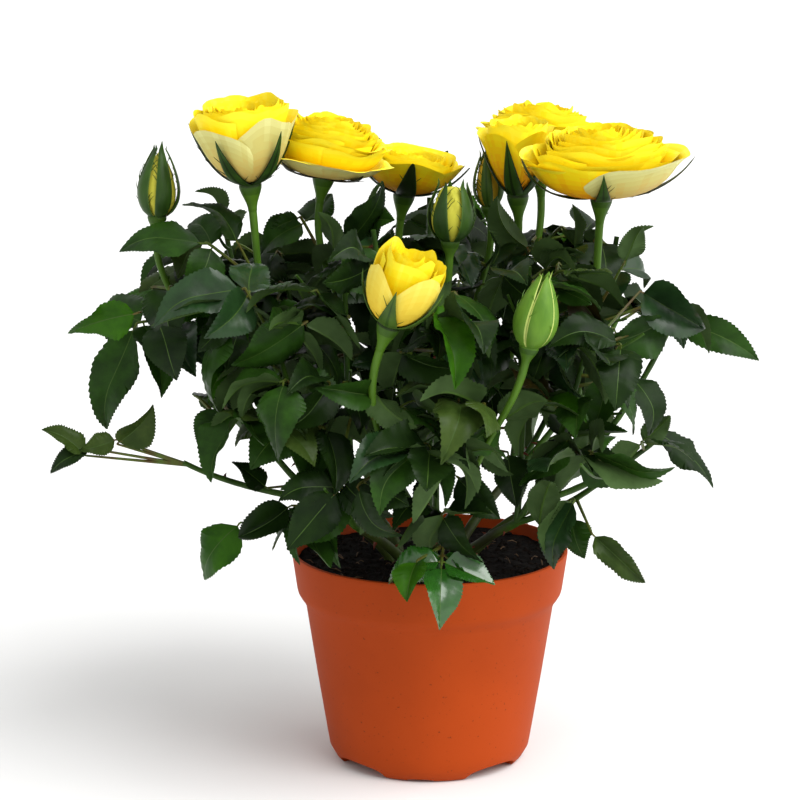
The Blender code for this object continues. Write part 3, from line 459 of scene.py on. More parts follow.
# The petals' colours, from the foot of a petal to its rim, and how many finishes each takes.
# Their deep amber and ochre feet are partly the petals' own deeper colour and partly painted shade
# deep in the bloom and under it; their pale lemon and cream rims are partly painted highlight.
RAMPS = {
    "yellow": (((238, 142, 3), (255, 194, 5), (255, 221, 12), (255, 235, 34), (255, 243, 84)), 11),
    "skin": (((206, 146, 60), (214, 180, 92), (210, 200, 116), (232, 230, 156)), 12),
    "soft": (((222, 180, 44), (232, 204, 66), (240, 222, 98)), 10),
}
for name, (colours, count) in RAMPS.items():
    for k in range(count):
        at = k / (count - 1) * (len(colours) - 1)
        low = min(int(at), len(colours) - 2)
        mixed = [x + (y - x) * (at - low) for x, y in zip(colours[low], colours[low + 1])]
        FINISHES.append(petal_finish(f"petal_{name}_{k}", mixed, [c * PETAL_SHADE for c in mixed]))
NUMBER = {material.name: k for k, material in enumerate(FINISHES)}
TINTS = ["leaf_dark", "leaf_mid", "leaf_blue", "leaf_young", "leaf_bronze", "leaf_olive"]
TINT_WEIGHTS = [52, 22, 12, 6, 2, 5]


# ---------------------------------------------------------------- meshes
SHORT = 1e-9  # a length too short to divide by


class Shape:
    """Points and triangles of many small forms, with the finish of each triangle."""

    def __init__(self):
        self.points, self.triangles, self.finishes, self.count = [], [], [], 0

    def add(self, points, triangles, finish_name):
        """The finish is one name, or an array of numbers of finishes, one a triangle."""
        points = np.asarray(points, float).reshape(-1, 3)
        triangles = np.asarray(triangles, int)
        kind = NUMBER[finish_name] if isinstance(finish_name, str) else finish_name
        self.points.append(points)
        self.triangles.append(triangles + self.count)
        self.finishes.append(np.broadcast_to(kind, len(triangles)))
        self.count += len(points)

    def piece(self, name, slot, *replaced, sharp=SHARP_ANGLE):
        """One mesh that stands for the CAD nodes that are named."""
        points = np.concatenate(self.points) * MM
        triangles = np.concatenate(self.triangles)
        used, index = np.unique(np.concatenate(self.finishes), return_inverse=True)
        data = bpy.data.meshes.new(name)
        data.from_pydata(points.tolist(), [], triangles.tolist())
        for number in used:
            data.materials.append(FINISHES[number])
        data.polygons.foreach_set("material_index", index.astype(np.int32))
        data.shade_smooth()
        data.set_sharp_from_angle(angle=sharp)
        made = bpy.data.objects.new(name, data)
        bpy.context.scene.collection.objects.link(made)
        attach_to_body(made, "root")
        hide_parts(*replaced)
        return made


def unit(v):
    return v / np.maximum(np.linalg.norm(v, axis=-1, keepdims=True), SHORT)


def squares(index, closed=False):
    """Two triangles for each square of a grid of point numbers."""
    if closed:
        index = np.concatenate([index, index[:, :1]], axis=1)
    a, b, c, d = index[:-1, :-1], index[:-1, 1:], index[1:, 1:], index[1:, :-1]
    made = np.stack([np.stack([a, b, c], -1), np.stack([a, c, d], -1)], axis=2)
    # two corners are cut the other way, so that no triangle has its points along the border only
    for row, column in ((0, -1), (-1, 0)):
        p, q, r, s = (corner[row, column] for corner in (a, b, c, d))
        made[row, column] = ((p, q, s), (q, r, s))
    return made.reshape(-1, 3)


def frame_along(axis):
    """Two unit vectors square to the axis and to each other."""
    axis = Vector(axis).normalized()
    side = axis.cross(UP)
    if side.length < NEARLY_UPRIGHT:
        side = Vector((1, 0, 0)) - axis * axis.x
    side.normalize()
    return axis, side, axis.cross(side)


def moved(points, origin, axis):
    """Points made about Z, set on the origin with Z along the axis."""
    axis, side, across = frame_along(axis)
    turn = np.array([side, across, axis])
    return np.asarray(points) @ turn + np.array(origin)


def turned(shape, profile, sides, finish_name, place=None, wobble=None):
    """A solid of revolution about Z, from (radius, height) at the axis below to the axis above.
    Wobble changes a ring of points, and place is (origin, axis)."""
    angle = np.arange(sides) * 2 * math.pi / sides
    rings = []
    for radius, height in profile:
        ring = np.stack([radius * np.cos(angle), radius * np.sin(angle),
                         np.full(sides, float(height))], -1)
        rings.append(ring)
    points = np.stack(rings)
    if wobble is not None:
        points = wobble(points)
    index = np.arange(points[..., 0].size).reshape(points.shape[:2])
    index[0], index[-1] = index[0, 0], index[-1, 0]
    triangles = squares(index, closed=True)
    proper = (np.diff(np.sort(triangles, axis=1), axis=1) > 0).all(axis=1)
    triangles = triangles[proper]
    points = points.reshape(-1, 3)
    kept = np.unique(triangles)
    number = np.full(len(points), -1)
    number[kept] = np.arange(len(kept))
    points, triangles = points[kept], number[triangles]
    if place:
        points = moved(points, *place)
    if isinstance(finish_name, (list, tuple)):
        level = np.repeat([NUMBER[f] for f in finish_name], 2 * sides)[proper]
        finish_name = level
    shape.add(points, triangles, finish_name)


def tube_rings(line, radii, sides, flat_foot=False):
    """Rings of points round a line, as an array of rings."""
    tangent = (line[1] - line[0]).normalized()
    side = frame_along(UP if flat_foot else tangent)[1]
    rings = []
    for k, (centre, radius) in enumerate(zip(line, radii)):
        ahead, behind = line[min(k + 1, len(line) - 1)], line[max(k - 1, 0)]
        tangent = UP if flat_foot and k == 0 else (ahead - behind).normalized()
        side = (side - tangent * side.dot(tangent)).normalized()
        across = tangent.cross(side)
        rings.append([
            centre + (side * math.cos(a) + across * math.sin(a)) * radius
            for a in (2 * math.pi * n / sides for n in range(sides))
        ])
    return np.array(rings)


def tube(shape, line, radii, sides, finish_name, flat_foot=False, relief=None):
    """A closed tube along a line of points, with a radius at each."""
    rings = tube_rings(line, radii, sides, flat_foot)
    if relief is not None:
        middle = rings.mean(axis=1, keepdims=True)
        rings = middle + (rings - middle) * relief(rings)[..., None]
    count = rings[..., 0].size
    index = np.arange(count).reshape(rings.shape[:2])
    ends = []
    for ring, centre in ((index[0][::-1], count), (index[-1], count + 1)):
        ends.append(np.stack([ring, np.roll(ring, -1), np.full(sides, centre)], -1))
    points = np.concatenate([rings.reshape(-1, 3), [line[0], line[-1]]])
    shape.add(points, np.concatenate([squares(index, closed=True), *ends]), finish_name)


def lens(shape, grid, thick, upper, lower, place=None):
    """A thin closed blade on a grid of points, sharp at its border. Upper and lower are the
    numbers of the finishes of its squares."""
    rows, columns = grid.shape[:2]
    normal = unit(np.cross(np.gradient(grid, axis=0), np.gradient(grid, axis=1)))
    inner = np.zeros((rows, columns), bool)
    inner[1:-1, 1:-1] = True
    off = normal * (thick / 2 * inner)[..., None]
    top = np.arange(rows * columns).reshape(rows, columns)
    bottom = top.copy()
    bottom[inner] = rows * columns + np.arange(inner.sum())
    points = np.concatenate([(grid + off).reshape(-1, 3), (grid - off)[inner]])
    if place:
        points = moved(points, *place)
    finishes = []
    for side in (upper, lower):
        cells = np.broadcast_to(np.asarray(side), (rows - 1, columns - 1))
        finishes.append(np.repeat(cells.reshape(-1), 2))
    triangles = np.concatenate([squares(top), squares(bottom)[:, ::-1]])
    shape.add(points, triangles, np.concatenate(finishes))


# ---------------------------------------------------------------- the rule of growth
NO_LEAF = ([], [], 0)


def bezier(a, b, c, t):
    return a * (1 - t) ** 2 + b * (2 * t * (1 - t)) + c * t**2


def curve(a, b, c, count):
    return [bezier(a, b, c, k / (count - 1)) for k in range(count)]


def taper(first, last, count):
    return [first + (last - first) * k / (count - 1) for k in range(count)]


def cane_line(mass, count=4):
    fork = Vector(MASSES[mass]["fork"])
    foot = Vector((fork.x * FOOT_SPREAD, fork.y * FOOT_SPREAD, SOIL_TOP + GAP))
    bend = foot.lerp(fork, CANE_BEND)
    bend.z = (foot.z + fork.z) / 2
    return curve(foot, bend, fork, count)


def shoots_of(mass):
    """(name of its end, start, bend, end) of each shoot."""
    line = cane_line(mass)
    heading = (line[-1] - line[-2]).normalized()
    start = line[-1] + heading * (GAP + STUB * SHOOT_START)
    made = []
    for name, end in MASSES[mass]["ends"].items():
        end = Vector(end)
        bend = start.lerp(end, SHOOT_BEND)
        bend.z = start.z + (end.z - start.z) * (SHOOT_RISE if end.z > start.z else SHOOT_SAG)
        made.append((name, start, bend, end))
    return made


def compound_leaf(attach, hub, tip, pairs, roll, draw):
    """(points of the leaf's stalk, leaflets). A leaflet is (number of the point that it grows from,
    tip, normal, width), and the first one stands at the stalk's end."""
    bend = attach.lerp(hub, PETIOLE_BEND) + UP * (hub - attach).length * PETIOLE_ARCH
    stations = sorted(PAIR_STATIONS[:pairs])
    stalk = [attach, *(bezier(attach, bend, hub, t) for t in stations), hub]
    along = (hub - bend).normalized()
    side = along.cross(UP)
    side = side.normalized() if side.length > NEARLY_UPRIGHT else Vector((1, 0, 0))
    turn = math.radians(roll)
    side = (side * math.cos(turn) + side.cross(along) * math.sin(turn)).normalized()
    face = side.cross(along).normalized()
    length = (tip - hub).length
    end_face = side.cross((tip - hub).normalized()).normalized()
    leaflets = [(pairs + 1, tip, end_face, length * LEAFLET_WIDTH)]
    for pair in range(pairs):
        size = max(length, LEAFLET_LENGTH * LEAST_SIZE) * (SIDE_SIZE - SIDE_SHRINK * pair)
        for hand in (-1, 1):
            spread = math.radians(draw.uniform(*SIDE_SPREAD))
            dip = draw.uniform(*SIDE_DIP)
            out = side * hand * math.sin(spread) + along * math.cos(spread) - face * dip
            out.normalize()
            normal = (face - out * face.dot(out)).normalized()
            width = size * LEAFLET_WIDTH * draw.uniform(*WIDTH_SPREAD)
            number = pairs - pair
            leaflets.append((number, stalk[number] + out * size, normal, width))
    return stalk, leaflets


def nearest_on_shoots(mass, point):
    """The place on the mass's shoots that a leaf reaching the point grows from."""
    best = None
    for _, start, bend, end in shoots_of(mass):
        for k in range(1, SEARCH_STEPS):
            place = bezier(start, bend, end, k / SEARCH_STEPS)
            cost = (place - point).length + max(0, place.z - point.z) * DOWNWARD_COST
            if best is None or cost < best[0]:
                best = (cost, place)
    return best[1]


def mass_at(point):
    def distance(mass):
        x, y = MASSES[mass]["seed"]
        return math.hypot(point.x - x, point.y - y)

    return min(MASSES, key=distance)


def placed_leaves(mass, kind, listed):
    """Each of the mass's leaves in a list: the ways in which it may be rolled about its stalk, or
    nudged where it stands at the front, and its looks if the list gives them."""
    draw = random.Random(f"{kind} {mass}")
    leaves = []
    for hub, tip, pairs, roll, *looks in listed:
        hub, tip = Vector(hub), Vector(tip)
        if mass_at(hub) == mass:
            attach = nearest_on_shoots(mass, hub)
            rolls = [roll + draw.uniform(-ROLL_SPREAD, ROLL_SPREAD) * attempt / LEAF_TRIES
                     for attempt in range(LEAF_TRIES)]
            nudges = [Vector(nudge) for nudge in (NUDGES if kind == "front" else NUDGES[:1])]
            ways = [
                compound_leaf(attach, hub + nudge, tip + nudge, pairs, turn, draw)
                for nudge in nudges for turn in rolls
            ]
            leaves.append((ways, looks))
    return leaves


def leaf_buds(shoots, draw, spacing):
    """(place on a shoot, share of the way up it, turn about it) of each leaf that the rule gives."""
    places = []
    for _, start, bend, end in shoots:
        count = max(3, round((end - start).length / spacing))
        turn = draw.uniform(0, 2 * math.pi)
        for k in range(count):
            t = LEAF_START + (1 - LEAF_START) * (k + 0.5) / count
            turn += GOLDEN_ANGLE
            place = bezier(start, bend, end, t)
            if math.hypot(place.x, place.y) > SHADE_RADIUS or place.z > SHADE_HEIGHT:
                places.append((place, t, turn))
    return places


def outward(turn, place, pull):
    """The level direction at this turn, pulled outward from the plant's middle."""
    heading = Vector((math.cos(turn), math.sin(turn), 0))
    heading += Vector((place.x, place.y, 0)) / CROWN_HALF_WIDTH * pull
    return heading.normalized()


def tilted(heading, angle):
    """A level direction turned upward."""
    return heading * math.cos(angle) + UP * math.sin(angle)


def ruled_leaf(attach, t, turn, draw, size=1, droops=LEAF_DROOP):
    """The leaf that grows at this turn about its shoot, at the share t of the way up it."""
    heading = outward(turn, attach, OUTWARD_PULL)
    rise = math.radians(draw.uniform(*LEAF_RISE) + UPPER_RISE * t)
    reach = LEAF_REACH * size * draw.uniform(*LEAF_REACHES) * (1 - UPPER_SHORTER * t)
    hub = attach + tilted(heading, rise) * reach
    droop = math.radians(draw.uniform(*droops))
    length = LEAFLET_LENGTH * size * draw.uniform(*LEAF_SIZES)
    swing = Vector((-heading.y, heading.x, 0)) * draw.uniform(-LEAF_SWING, LEAF_SWING)
    ahead = (heading + swing).normalized()
    tip = hub + tilted(ahead, -droop) * length
    pairs = 2 if draw.random() < TWO_PAIRS else 1
    return compound_leaf(attach, hub, tip, pairs, draw.uniform(-ROLL_SPREAD, ROLL_SPREAD), draw)


def in_crown(point):
    across = math.hypot(point.x / CROWN_HALF_WIDTH, point.y / CROWN_HALF_DEPTH)
    for (low, wide), (high, wider) in zip(CROWN_OUTLINE, CROWN_OUTLINE[1:]):
        if low <= point.z <= high:
            return across < wide + (wider - wide) * (point.z - low) / (high - low)
    return False


def in_space(point, mass):
    """Whether the point is nearer in plan to the mass's seed than to any other, by the margin."""
    own = Vector((*MASSES[mass]["seed"], 0))
    flat = Vector((point.x, point.y, 0))
    for name, other in MASSES.items():
        seed = Vector((*other["seed"], 0))
        if name == mass:
            continue
        beyond = ((flat - seed).length_squared - (flat - own).length_squared) / 2
        if beyond / (seed - own).length < SPACE_MARGIN:
            return False
    return True


def off_pot(point):
    across = math.hypot(point.x, point.y)
    over_soil = across < RIM_RADIUS - WALL - POT_CLEARANCE and point.z > SOIL_TOP + POT_CLEARANCE
    return over_soil or across > RIM_RADIUS + POT_CLEARANCE or point.z > POT_HEIGHT + POT_CLEARANCE


def leaflet_solid(foot, tip, normal, width):
    """(points, triangles) of the plain blade that the room for a leaflet is tested with."""
    along = tip - foot
    side = along.normalized().cross(normal).normalized()
    fold = normal * width * FOLD
    half, shoulder = side * width / 2, side * width * SHOULDER_WIDTH
    low, high = foot + along * WIDEST_AT + fold, foot + along * SHOULDER_AT + fold
    middle = foot.lerp(tip, 0.5) + normal * along.length * ARCH
    rim = [foot, low + half, high + shoulder, tip, high - shoulder, low - half]
    points = [*rim, middle + normal * LEAFLET_THICK / 2, middle - normal * LEAFLET_THICK / 2]
    faces = []
    for k in range(6):
        n = (k + 1) % 6
        faces += [(k, n, 6), (n, k, 7)]
    return points, faces


def inflated(mesh, distance):
    """The mesh pushed out along its corners' normals."""
    points, faces = mesh
    normals = [Vector() for _ in points]
    for a, b, c in faces:
        normal = (points[b] - points[a]).cross(points[c] - points[a])
        for i in (a, b, c):
            normals[i] += normal
    return [p + n.normalized() * distance for p, n in zip(points, normals)], faces


def tube_mesh(line, radii, sides):
    """(points, triangles) of a plain tube, to test for room."""
    rings = tube_rings(line, radii, sides)
    index = np.arange(rings[..., 0].size).reshape(rings.shape[:2])
    faces = squares(index, closed=True).tolist()
    for ring in (index[0][::-1], index[-1]):
        faces += [(int(ring[0]), int(ring[k]), int(ring[k + 1])) for k in range(1, sides - 1)]
    return [Vector(p) for p in rings.reshape(-1, 3)], faces


def ball_round(points):
    """Centre and radius of a ball round the points."""
    array = np.array(points)
    centre = (array.min(0) + array.max(0)) / 2
    return centre, np.linalg.norm(array - centre, axis=1).max()


class Taken:
    """Room that is taken: surfaces, each with the ball round it, so that far ones are skipped."""

    def __init__(self, meshes=()):
        self.trees, self.balls = [], np.zeros((0, 4))
        self.extend(meshes)

    def extend(self, meshes):
        balls = []
        for points, faces in meshes:
            centre, reach = ball_round(points)
            balls.append([*centre, reach])
            self.trees.append(BVHTree.FromPolygons(points, faces))
        if balls:
            self.balls = np.concatenate([self.balls, balls])

    def is_clear(self, mesh, clearance):
        points, faces = inflated(mesh, clearance)
        centre, reach = ball_round(points)
        near = np.linalg.norm(self.balls[:, :3] - centre, axis=1) < self.balls[:, 3] + reach
        if not near.any():
            return True
        tree = BVHTree.FromPolygons(points, faces)
        return not any(tree.overlap(self.trees[k]) for k in np.flatnonzero(near))


def fitted_leaf(leaf, limbs, own, allowed):
    """The leaf without the leaflets that have no room, the blades that it takes room with, and how
    good it is."""
    stalk, leaflets = leaf
    kept, blades, last = [], [], 0
    for leaflet in leaflets:
        number, tip, normal, width = leaflet
        foot = stalk[number]
        whole = leaflet_solid(foot, tip, normal, width)
        free = leaflet_solid(foot.lerp(tip, LEAFLET_ROOT), tip, normal, width)
        if not all(off_pot(point) and allowed(point) for point in whole[0]):
            continue
        crossing = Taken(blades)
        if (limbs.is_clear(whole, LIMB_CLEARANCE) and own.is_clear(free, LEAF_CLEARANCE)
                and crossing.is_clear(free, LEAF_CLEARANCE)):
            kept.append(leaflet)
            blades.append(free)
            last = max(last, number)
    if len(kept) < min(LEAST_LEAFLETS, len(leaflets)):
        return NO_LEAF
    line = stalk[: last + 1]
    radii = [PETIOLE_RADIUS] * len(line)
    stem = tube_mesh(line, radii, 3)
    free = tube_mesh([line[0].lerp(line[1], PETIOLE_ROOT), *line[1:]], radii, 3)
    inside = all(off_pot(point) and allowed(point) for point in stem[0])
    if not inside or not limbs.is_clear(stem, LIMB_CLEARANCE) or not own.is_clear(free, 0):
        return NO_LEAF
    return (stalk[: last + 1], kept), blades, len(kept) + 2 * (last == len(stalk) - 1)


def best_leaf(ways, limbs, own, allowed):
    """Of the ways in which a leaf may grow, the one that keeps its end and the most leaflets."""
    return max((fitted_leaf(leaf, limbs, own, allowed) for leaf in ways), key=lambda made: made[2])


def stem_meshes(mass):
    line = cane_line(mass)
    heading = (line[-1] - line[-2]).normalized()
    stub = [line[-1] + heading * GAP, line[-1] + heading * STUB]
    radii = taper(CANE_TIP_RADIUS * SHOOT_ROOT, SHOOT_TIP_RADIUS, SHOOT_STEPS)
    shoots = [
        tube_mesh(curve(start, bend, end, SHOOT_STEPS), radii, SHOOT_SIDES)
        for _, start, bend, end in shoots_of(mass)
    ]
    return [tube_mesh(stub, [CANE_TIP_RADIUS] * 2, CANE_SIDES), *shoots]


def solid_of(name):
    """A CAD node's surface in millimetres."""
    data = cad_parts[name].data
    return [p.co / MM for p in data.vertices], [tuple(t.vertices) for t in mesh_triangles(data)]


def mesh_triangles(data):
    data.calc_loop_triangles()
    return data.loop_triangles


def grown():
    """The leaves of each mass, and its side twigs. They grow in the source's order: first the
    leaves at the outline, then those of the rule, and then finer twigs and leaves between."""
    solids = [solid_of(name) for name in (*BLOOMS, *BUDS, *(f"cane_{mass}" for mass in MASSES))]
    limbs = {}
    for mass in MASSES:
        others = [stem for other in MASSES if other != mass for stem in stem_meshes(other)]
        limbs[mass] = Taken(solids + others)
    leaves = {mass: [] for mass in MASSES}
    own = {mass: Taken() for mass in MASSES}
    placed = {}
    for kind, listed in (("outline", OUTLINE_LEAVES), ("front", FRONT_LEAVES)):
        for mass in MASSES:
            for ways, looks in placed_leaves(mass, kind, listed):
                leaf, blades, _ = best_leaf(ways, limbs[mass], own[mass], lambda _: True)
                if leaf:
                    leaves[mass].append((*leaf, looks))
                    own[mass].extend(blades)
                    for other in MASSES:
                        if other != mass:
                            limbs[other].extend(blades)
            placed[mass] = len(leaves[mass])
    for mass in MASSES:
        own[mass].extend(stem_meshes(mass))

    for mass in MASSES:
        draw = random.Random(f"leaves {mass}")
        buds = leaf_buds(shoots_of(mass), random.Random(f"buds {mass}"), LEAF_SPACING)
        grow(leaves[mass], buds, draw, (1, 1), LEAF_DROOP, limbs[mass], own[mass], mass)
    twigs = {}
    for mass, made in leaves.items():
        made[:] = [life_sized(leaf, k < placed[mass]) for k, leaf in enumerate(made)]
        own[mass] = Taken(stem_meshes(mass))
        for leaf in made:
            own[mass].extend(blades_of(leaf))
    for mass in MASSES:
        twigs[mass] = side_twigs(mass, limbs[mass], own[mass])
        draw = random.Random(f"finer leaves {mass}")
        buds = leaf_buds(twigs[mass], draw, TWIG_LEAF_SPACING)
        buds += leaf_buds(shoots_of(mass), draw, FINER_SPACING)
        grow(leaves[mass], buds, draw, FINER_SIZES, FINER_DROOP, limbs[mass], own[mass], mass)
    return leaves, twigs


def in_reach(point, mass):
    """Whether the mass may grow to the point, which lies in no opening beside the crown."""
    in_sky = any(left < point.x < right and low < point.z < high for left, right, low, high in SKY)
    return not in_sky and in_crown(point) and in_space(point, mass)


def grow(leaves, buds, draw, sizes, droops, limbs, own, mass):
    """Adds the leaves that find room, each in the best of a few turns."""
    def allowed(point):
        return in_reach(point, mass)

    for attach, t, turn in buds:
        size = draw.uniform(*sizes) if sizes[0] < sizes[1] else sizes[0]
        turns = [turn + attempt * GOLDEN_ANGLE for attempt in range(LEAF_TRIES)]
        ways = [ruled_leaf(attach, t, heading, draw, size, droops) for heading in turns]
        leaf, blades, _ = best_leaf(ways, limbs, own, allowed)
        if leaf:
            leaves.append((*leaf, []))
            own.extend(blades)


def life_sized(leaf, is_placed):
    """The source's leaf with leaflets of a real one's size. A leaf from a list keeps the length of
    its end, which was read from the photo."""
    stalk, leaflets, looks = leaf
    made = []
    for number, tip, normal, width in leaflets:
        is_end = is_placed and number == len(stalk) - 1
        size, wide = (1, OUTLINE_WIDTH) if is_end else (LIFE_SIZE, LIFE_SIZE)
        if is_end and looks:
            wide = looks[1]
        made.append((number, stalk[number].lerp(tip, size), normal, width * wide))
    return stalk, made, looks


def blades_of(leaf):
    stalk, leaflets, _ = leaf
    return [
        leaflet_solid(stalk[number].lerp(tip, LEAFLET_ROOT), tip, normal, width)
        for number, tip, normal, width in leaflets
    ]


def side_twigs(mass, limbs, own):
    """Finer twigs that grow from the mass's shoots by the golden angle, where there is room."""
    draw = random.Random(f"twigs {mass}")
    made = []
    for name, start, bend, end in shoots_of(mass):
        count = round((end - start).length * (1 - TWIG_START) / TWIG_SPACING)
        turn = draw.uniform(0, 2 * math.pi)
        for k in range(count):
            turn += GOLDEN_ANGLE
            foot = bezier(start, bend, end, TWIG_START + (1 - TWIG_START) * (k + 0.5) / count)
            heading = outward(turn, foot, 1)
            rise = math.radians(draw.uniform(*TWIG_RISE))
            reach = draw.uniform(*TWIG_LENGTHS)
            tip = foot + tilted(heading, rise) * reach
            middle = foot.lerp(tip, 0.5) - UP * reach * TWIG_SAG
            free = tube_mesh([foot.lerp(middle, 0.5), middle, tip], [TWIG_RADIUS] * 3, 3)
            inside = all(off_pot(p) and in_reach(p, mass) for p in free[0])
            if (inside and limbs.is_clear(free, LIMB_CLEARANCE)
                    and own.is_clear(free, LEAF_CLEARANCE)):
                made.append((name, foot, middle, tip))
                own.extend([free])
    return made


# ---------------------------------------------------------------- a leaflet
# Its outline is a half wave that leans towards the foot and is drawn in at the tip.
OUTLINE_LEAN = 0.72
OUTLINE_FULL = 0.8
OUTLINE_TIP = 0.35
OUTLINE_SCALE = 1.06
RIB_HALF = 0.17  # half the width of the pale rib on the upper side
RIB_FADE = 4  # how fast it narrows to the tip
RIDGE_HALF = 0.5
RIDGE = 0.7  # depth of the rib under the leaflet
BLADE = 0.35  # thickness of the blade
QUILT = 0.45  # rise between two side veins
VEIN_LEAN = 0.72
TOOTH = 0.6
TOOTH_LEAN = 0.72
TOOTH_FADE = 8  # how fast the teeth shrink at the tip, to the least
LEAST_TOOTH = 0.2
TOOTHLESS = 0.14  # of the length, at the foot
# Lines of points along each half: share of the way to the border, millimetres from the middle of
# the rib, and depth under the upper side.
HALF_LINES = (
    ("outer", 0.72, 0, 0), ("inner", 0.36, 0, 0), ("rib", 0, RIB_HALF, 0),
    ("under", 0.6, 0, BLADE), ("ridge", 0, RIDGE_HALF, BLADE),
)
UPPER_SIDE, UNDERSIDE, RIB = range(3)


def outline_at(t):
    """Half the width of a leaflet, as a share of its widest."""
    t = np.clip(t, 0, 1)
    return (np.sin(math.pi * t**OUTLINE_LEAN) ** OUTLINE_FULL * (1 - OUTLINE_TIP * t**3)
            * OUTLINE_SCALE)


class Template:
    """The net of a leaflet: where each point lies along and across it, and its triangles."""

    def __init__(self, rows):
        self.rows, self.values, self.triangles, self.kinds = rows, [], [], []
        self.foot, self.tip = self.point(0, 0), self.point(1, 0)
        q = [k / rows for k in range(rows + 1)]  # where the side veins leave the rib
        p = [x**VEIN_LEAN for x in q]  # and where they reach the border
        halves = {hand: self.half(hand, q, p) for hand in (-1, 1)}
        keel = self.line(self.point(q[k], 0, 0, 0, BLADE + RIDGE * (1 - q[k]))
                         for k in range(1, rows))
        self.strip(halves[-1]["rib"], halves[1]["rib"], RIB, 1)
        for hand in (-1, 1):
            self.strip(keel, halves[hand]["ridge"], RIB, -hand)
        self.values = np.array(self.values, float)
        self.triangles = np.array(self.triangles)
        self.kinds = np.array(self.kinds)

    def half(self, hand, q, p):
        """Adds the half on one hand, and returns its lines."""
        rim = self.line(self.point(t, hand * outline_at(t)) for t in p[1:-1])
        teeth = []
        for k in range(self.rows):
            t = p[k] + (p[k + 1] - p[k]) * TOOTH_LEAN
            tall = TOOTH * (t > TOOTHLESS) * min(1, (1 - t) * TOOTH_FADE + LEAST_TOOTH)
            teeth.append(self.point(t, hand * outline_at(t), hand * tall))
        lines = {}
        for name, share, across, depth in HALF_LINES:
            line = []
            for k in range(1, self.rows):
                t = q[k] + (p[k] - q[k]) * share
                quilt = QUILT * (k % 2) * (share > 0) * (depth == 0)
                reach = hand * share * outline_at(p[k])
                narrow = min(1, (1 - t) * RIB_FADE)
                line.append(self.point(t, reach, hand * across * narrow, quilt, depth))
            lines[name] = self.line(line)
        outer, under = lines["outer"], lines["under"]
        for k in range(self.rows):
            for side, kind, turn in ((outer, UPPER_SIDE, hand), (under, UNDERSIDE, -hand)):
                self.face(side[k], rim[k], teeth[k], kind, turn)
                self.face(side[k], teeth[k], side[k + 1], kind, turn)
                self.face(teeth[k], rim[k + 1], side[k + 1], kind, turn)
        self.strip(lines["inner"], outer, UPPER_SIDE, hand)
        self.strip(lines["rib"], lines["inner"], UPPER_SIDE, hand)
        self.strip(lines["ridge"], under, UNDERSIDE, -hand)
        return lines

    def point(self, t, share, across=0, quilt=0, depth=0):
        self.values.append((t, share, across, quilt, depth))
        return len(self.values) - 1

    def line(self, points):
        """A line of points from the foot to the tip."""
        return [self.foot, *points, self.tip]

    def face(self, a, b, c, kind, turn):
        if len({a, b, c}) == 3:
            self.triangles.append((a, b, c) if turn > 0 else (a, c, b))
            self.kinds.append(kind)

    def strip(self, low, high, kind, turn):
        for k in range(self.rows):
            self.face(low[k], high[k], high[k + 1], kind, turn)
            self.face(low[k], high[k + 1], low[k + 1], kind, turn)


TEMPLATE = Template(LEAF_ROWS)

# How leaflets are bent, each drawn from these. They are shares of its length if not said otherwise.
RISES = (-0.04, 0.16)  # of its middle
CURLS = (0.0, 0.08, 0.18, 0.30)  # of its tip, downward
CURL_START = 0.5
SWAY = 0.07  # of its middle, to either side
TWIST = 1.0  # radians from foot to tip
TILT = 0.45  # radians at the foot
FOLDS = (0.12, 0.3, 0.5, 0.85)  # rise of each half over its width
FOLD_SPREAD = (0.7, 1.2)
BORDER_LIFTS = (-0.5, 0.1)  # of half the width
BORDER_WAVES = (0.6, 2.4)  # in millimetres, on a leaflet as long as the source's
LONG_WAVES = 1.8  # how many there are along it
SHORT_WAVES = 4.3
SHORT_WAVE = 0.3  # of the height of a long one
HALVES_APART = 0.2  # of a wave, between the two borders


def leaflet(shape, foot, tip, normal, width, tint, draw):
    """A toothed leaflet, folded along its rib, arched, curled at its tip, twisted and waved."""
    t, share, across, quilt, depth = TEMPLATE.values.T
    foot, tip, normal = np.array(foot), np.array(tip), np.array(normal)
    length = np.linalg.norm(tip - foot)
    along = (tip - foot) / length
    side = np.cross(along, normal)
    arch = length * draw.uniform(*RISES)
    curl = length * draw.choice(CURLS)
    late = np.clip((t - CURL_START) / (1 - CURL_START), 0, 1)
    lift = arch * 4 * t * (1 - t) - curl * late**2
    slope = np.arctan((arch * 4 * (1 - 2 * t) - curl * 2 * late / (1 - CURL_START)) / length)
    sway = length * draw.uniform(-SWAY, SWAY) * 4 * t * (1 - t)
    twist = draw.uniform(-TWIST, TWIST) * t + draw.uniform(-TILT, TILT)
    up = normal[None] * np.cos(slope)[:, None] - along[None] * np.sin(slope)[:, None]
    out = side[None] * np.cos(twist)[:, None] + up * np.sin(twist)[:, None]
    up = up * np.cos(twist)[:, None] - side[None] * np.sin(twist)[:, None]
    half = width / 2
    x = share * half + across
    fold = draw.choice(FOLDS) * draw.uniform(*FOLD_SPREAD)
    edge = draw.uniform(*BORDER_LIFTS)
    wave = draw.uniform(*BORDER_WAVES) * length / LEAFLET_LENGTH
    phase = draw.uniform(0, 2 * math.pi)
    z = np.abs(x) * fold + edge * half * np.abs(share) ** 3
    long = np.sin(2 * math.pi * (LONG_WAVES * t + np.sign(x) * HALVES_APART) + phase)
    short = np.sin(2 * math.pi * SHORT_WAVES * t + 2 * phase)
    z += wave * share**2 * (long + SHORT_WAVE * short) + quilt - depth
    x = x / math.sqrt(1 + fold**2)
    centre = foot + along * (length * t)[:, None] + normal[None] * lift[:, None]
    centre += side[None] * sway[:, None]
    points = centre + out * x[:, None] + up * z[:, None]
    names = np.array([NUMBER[tint], NUMBER["leaf_under"], NUMBER["leaf_rib"]])
    shape.add(points, TEMPLATE.triangles, names[TEMPLATE.kinds])


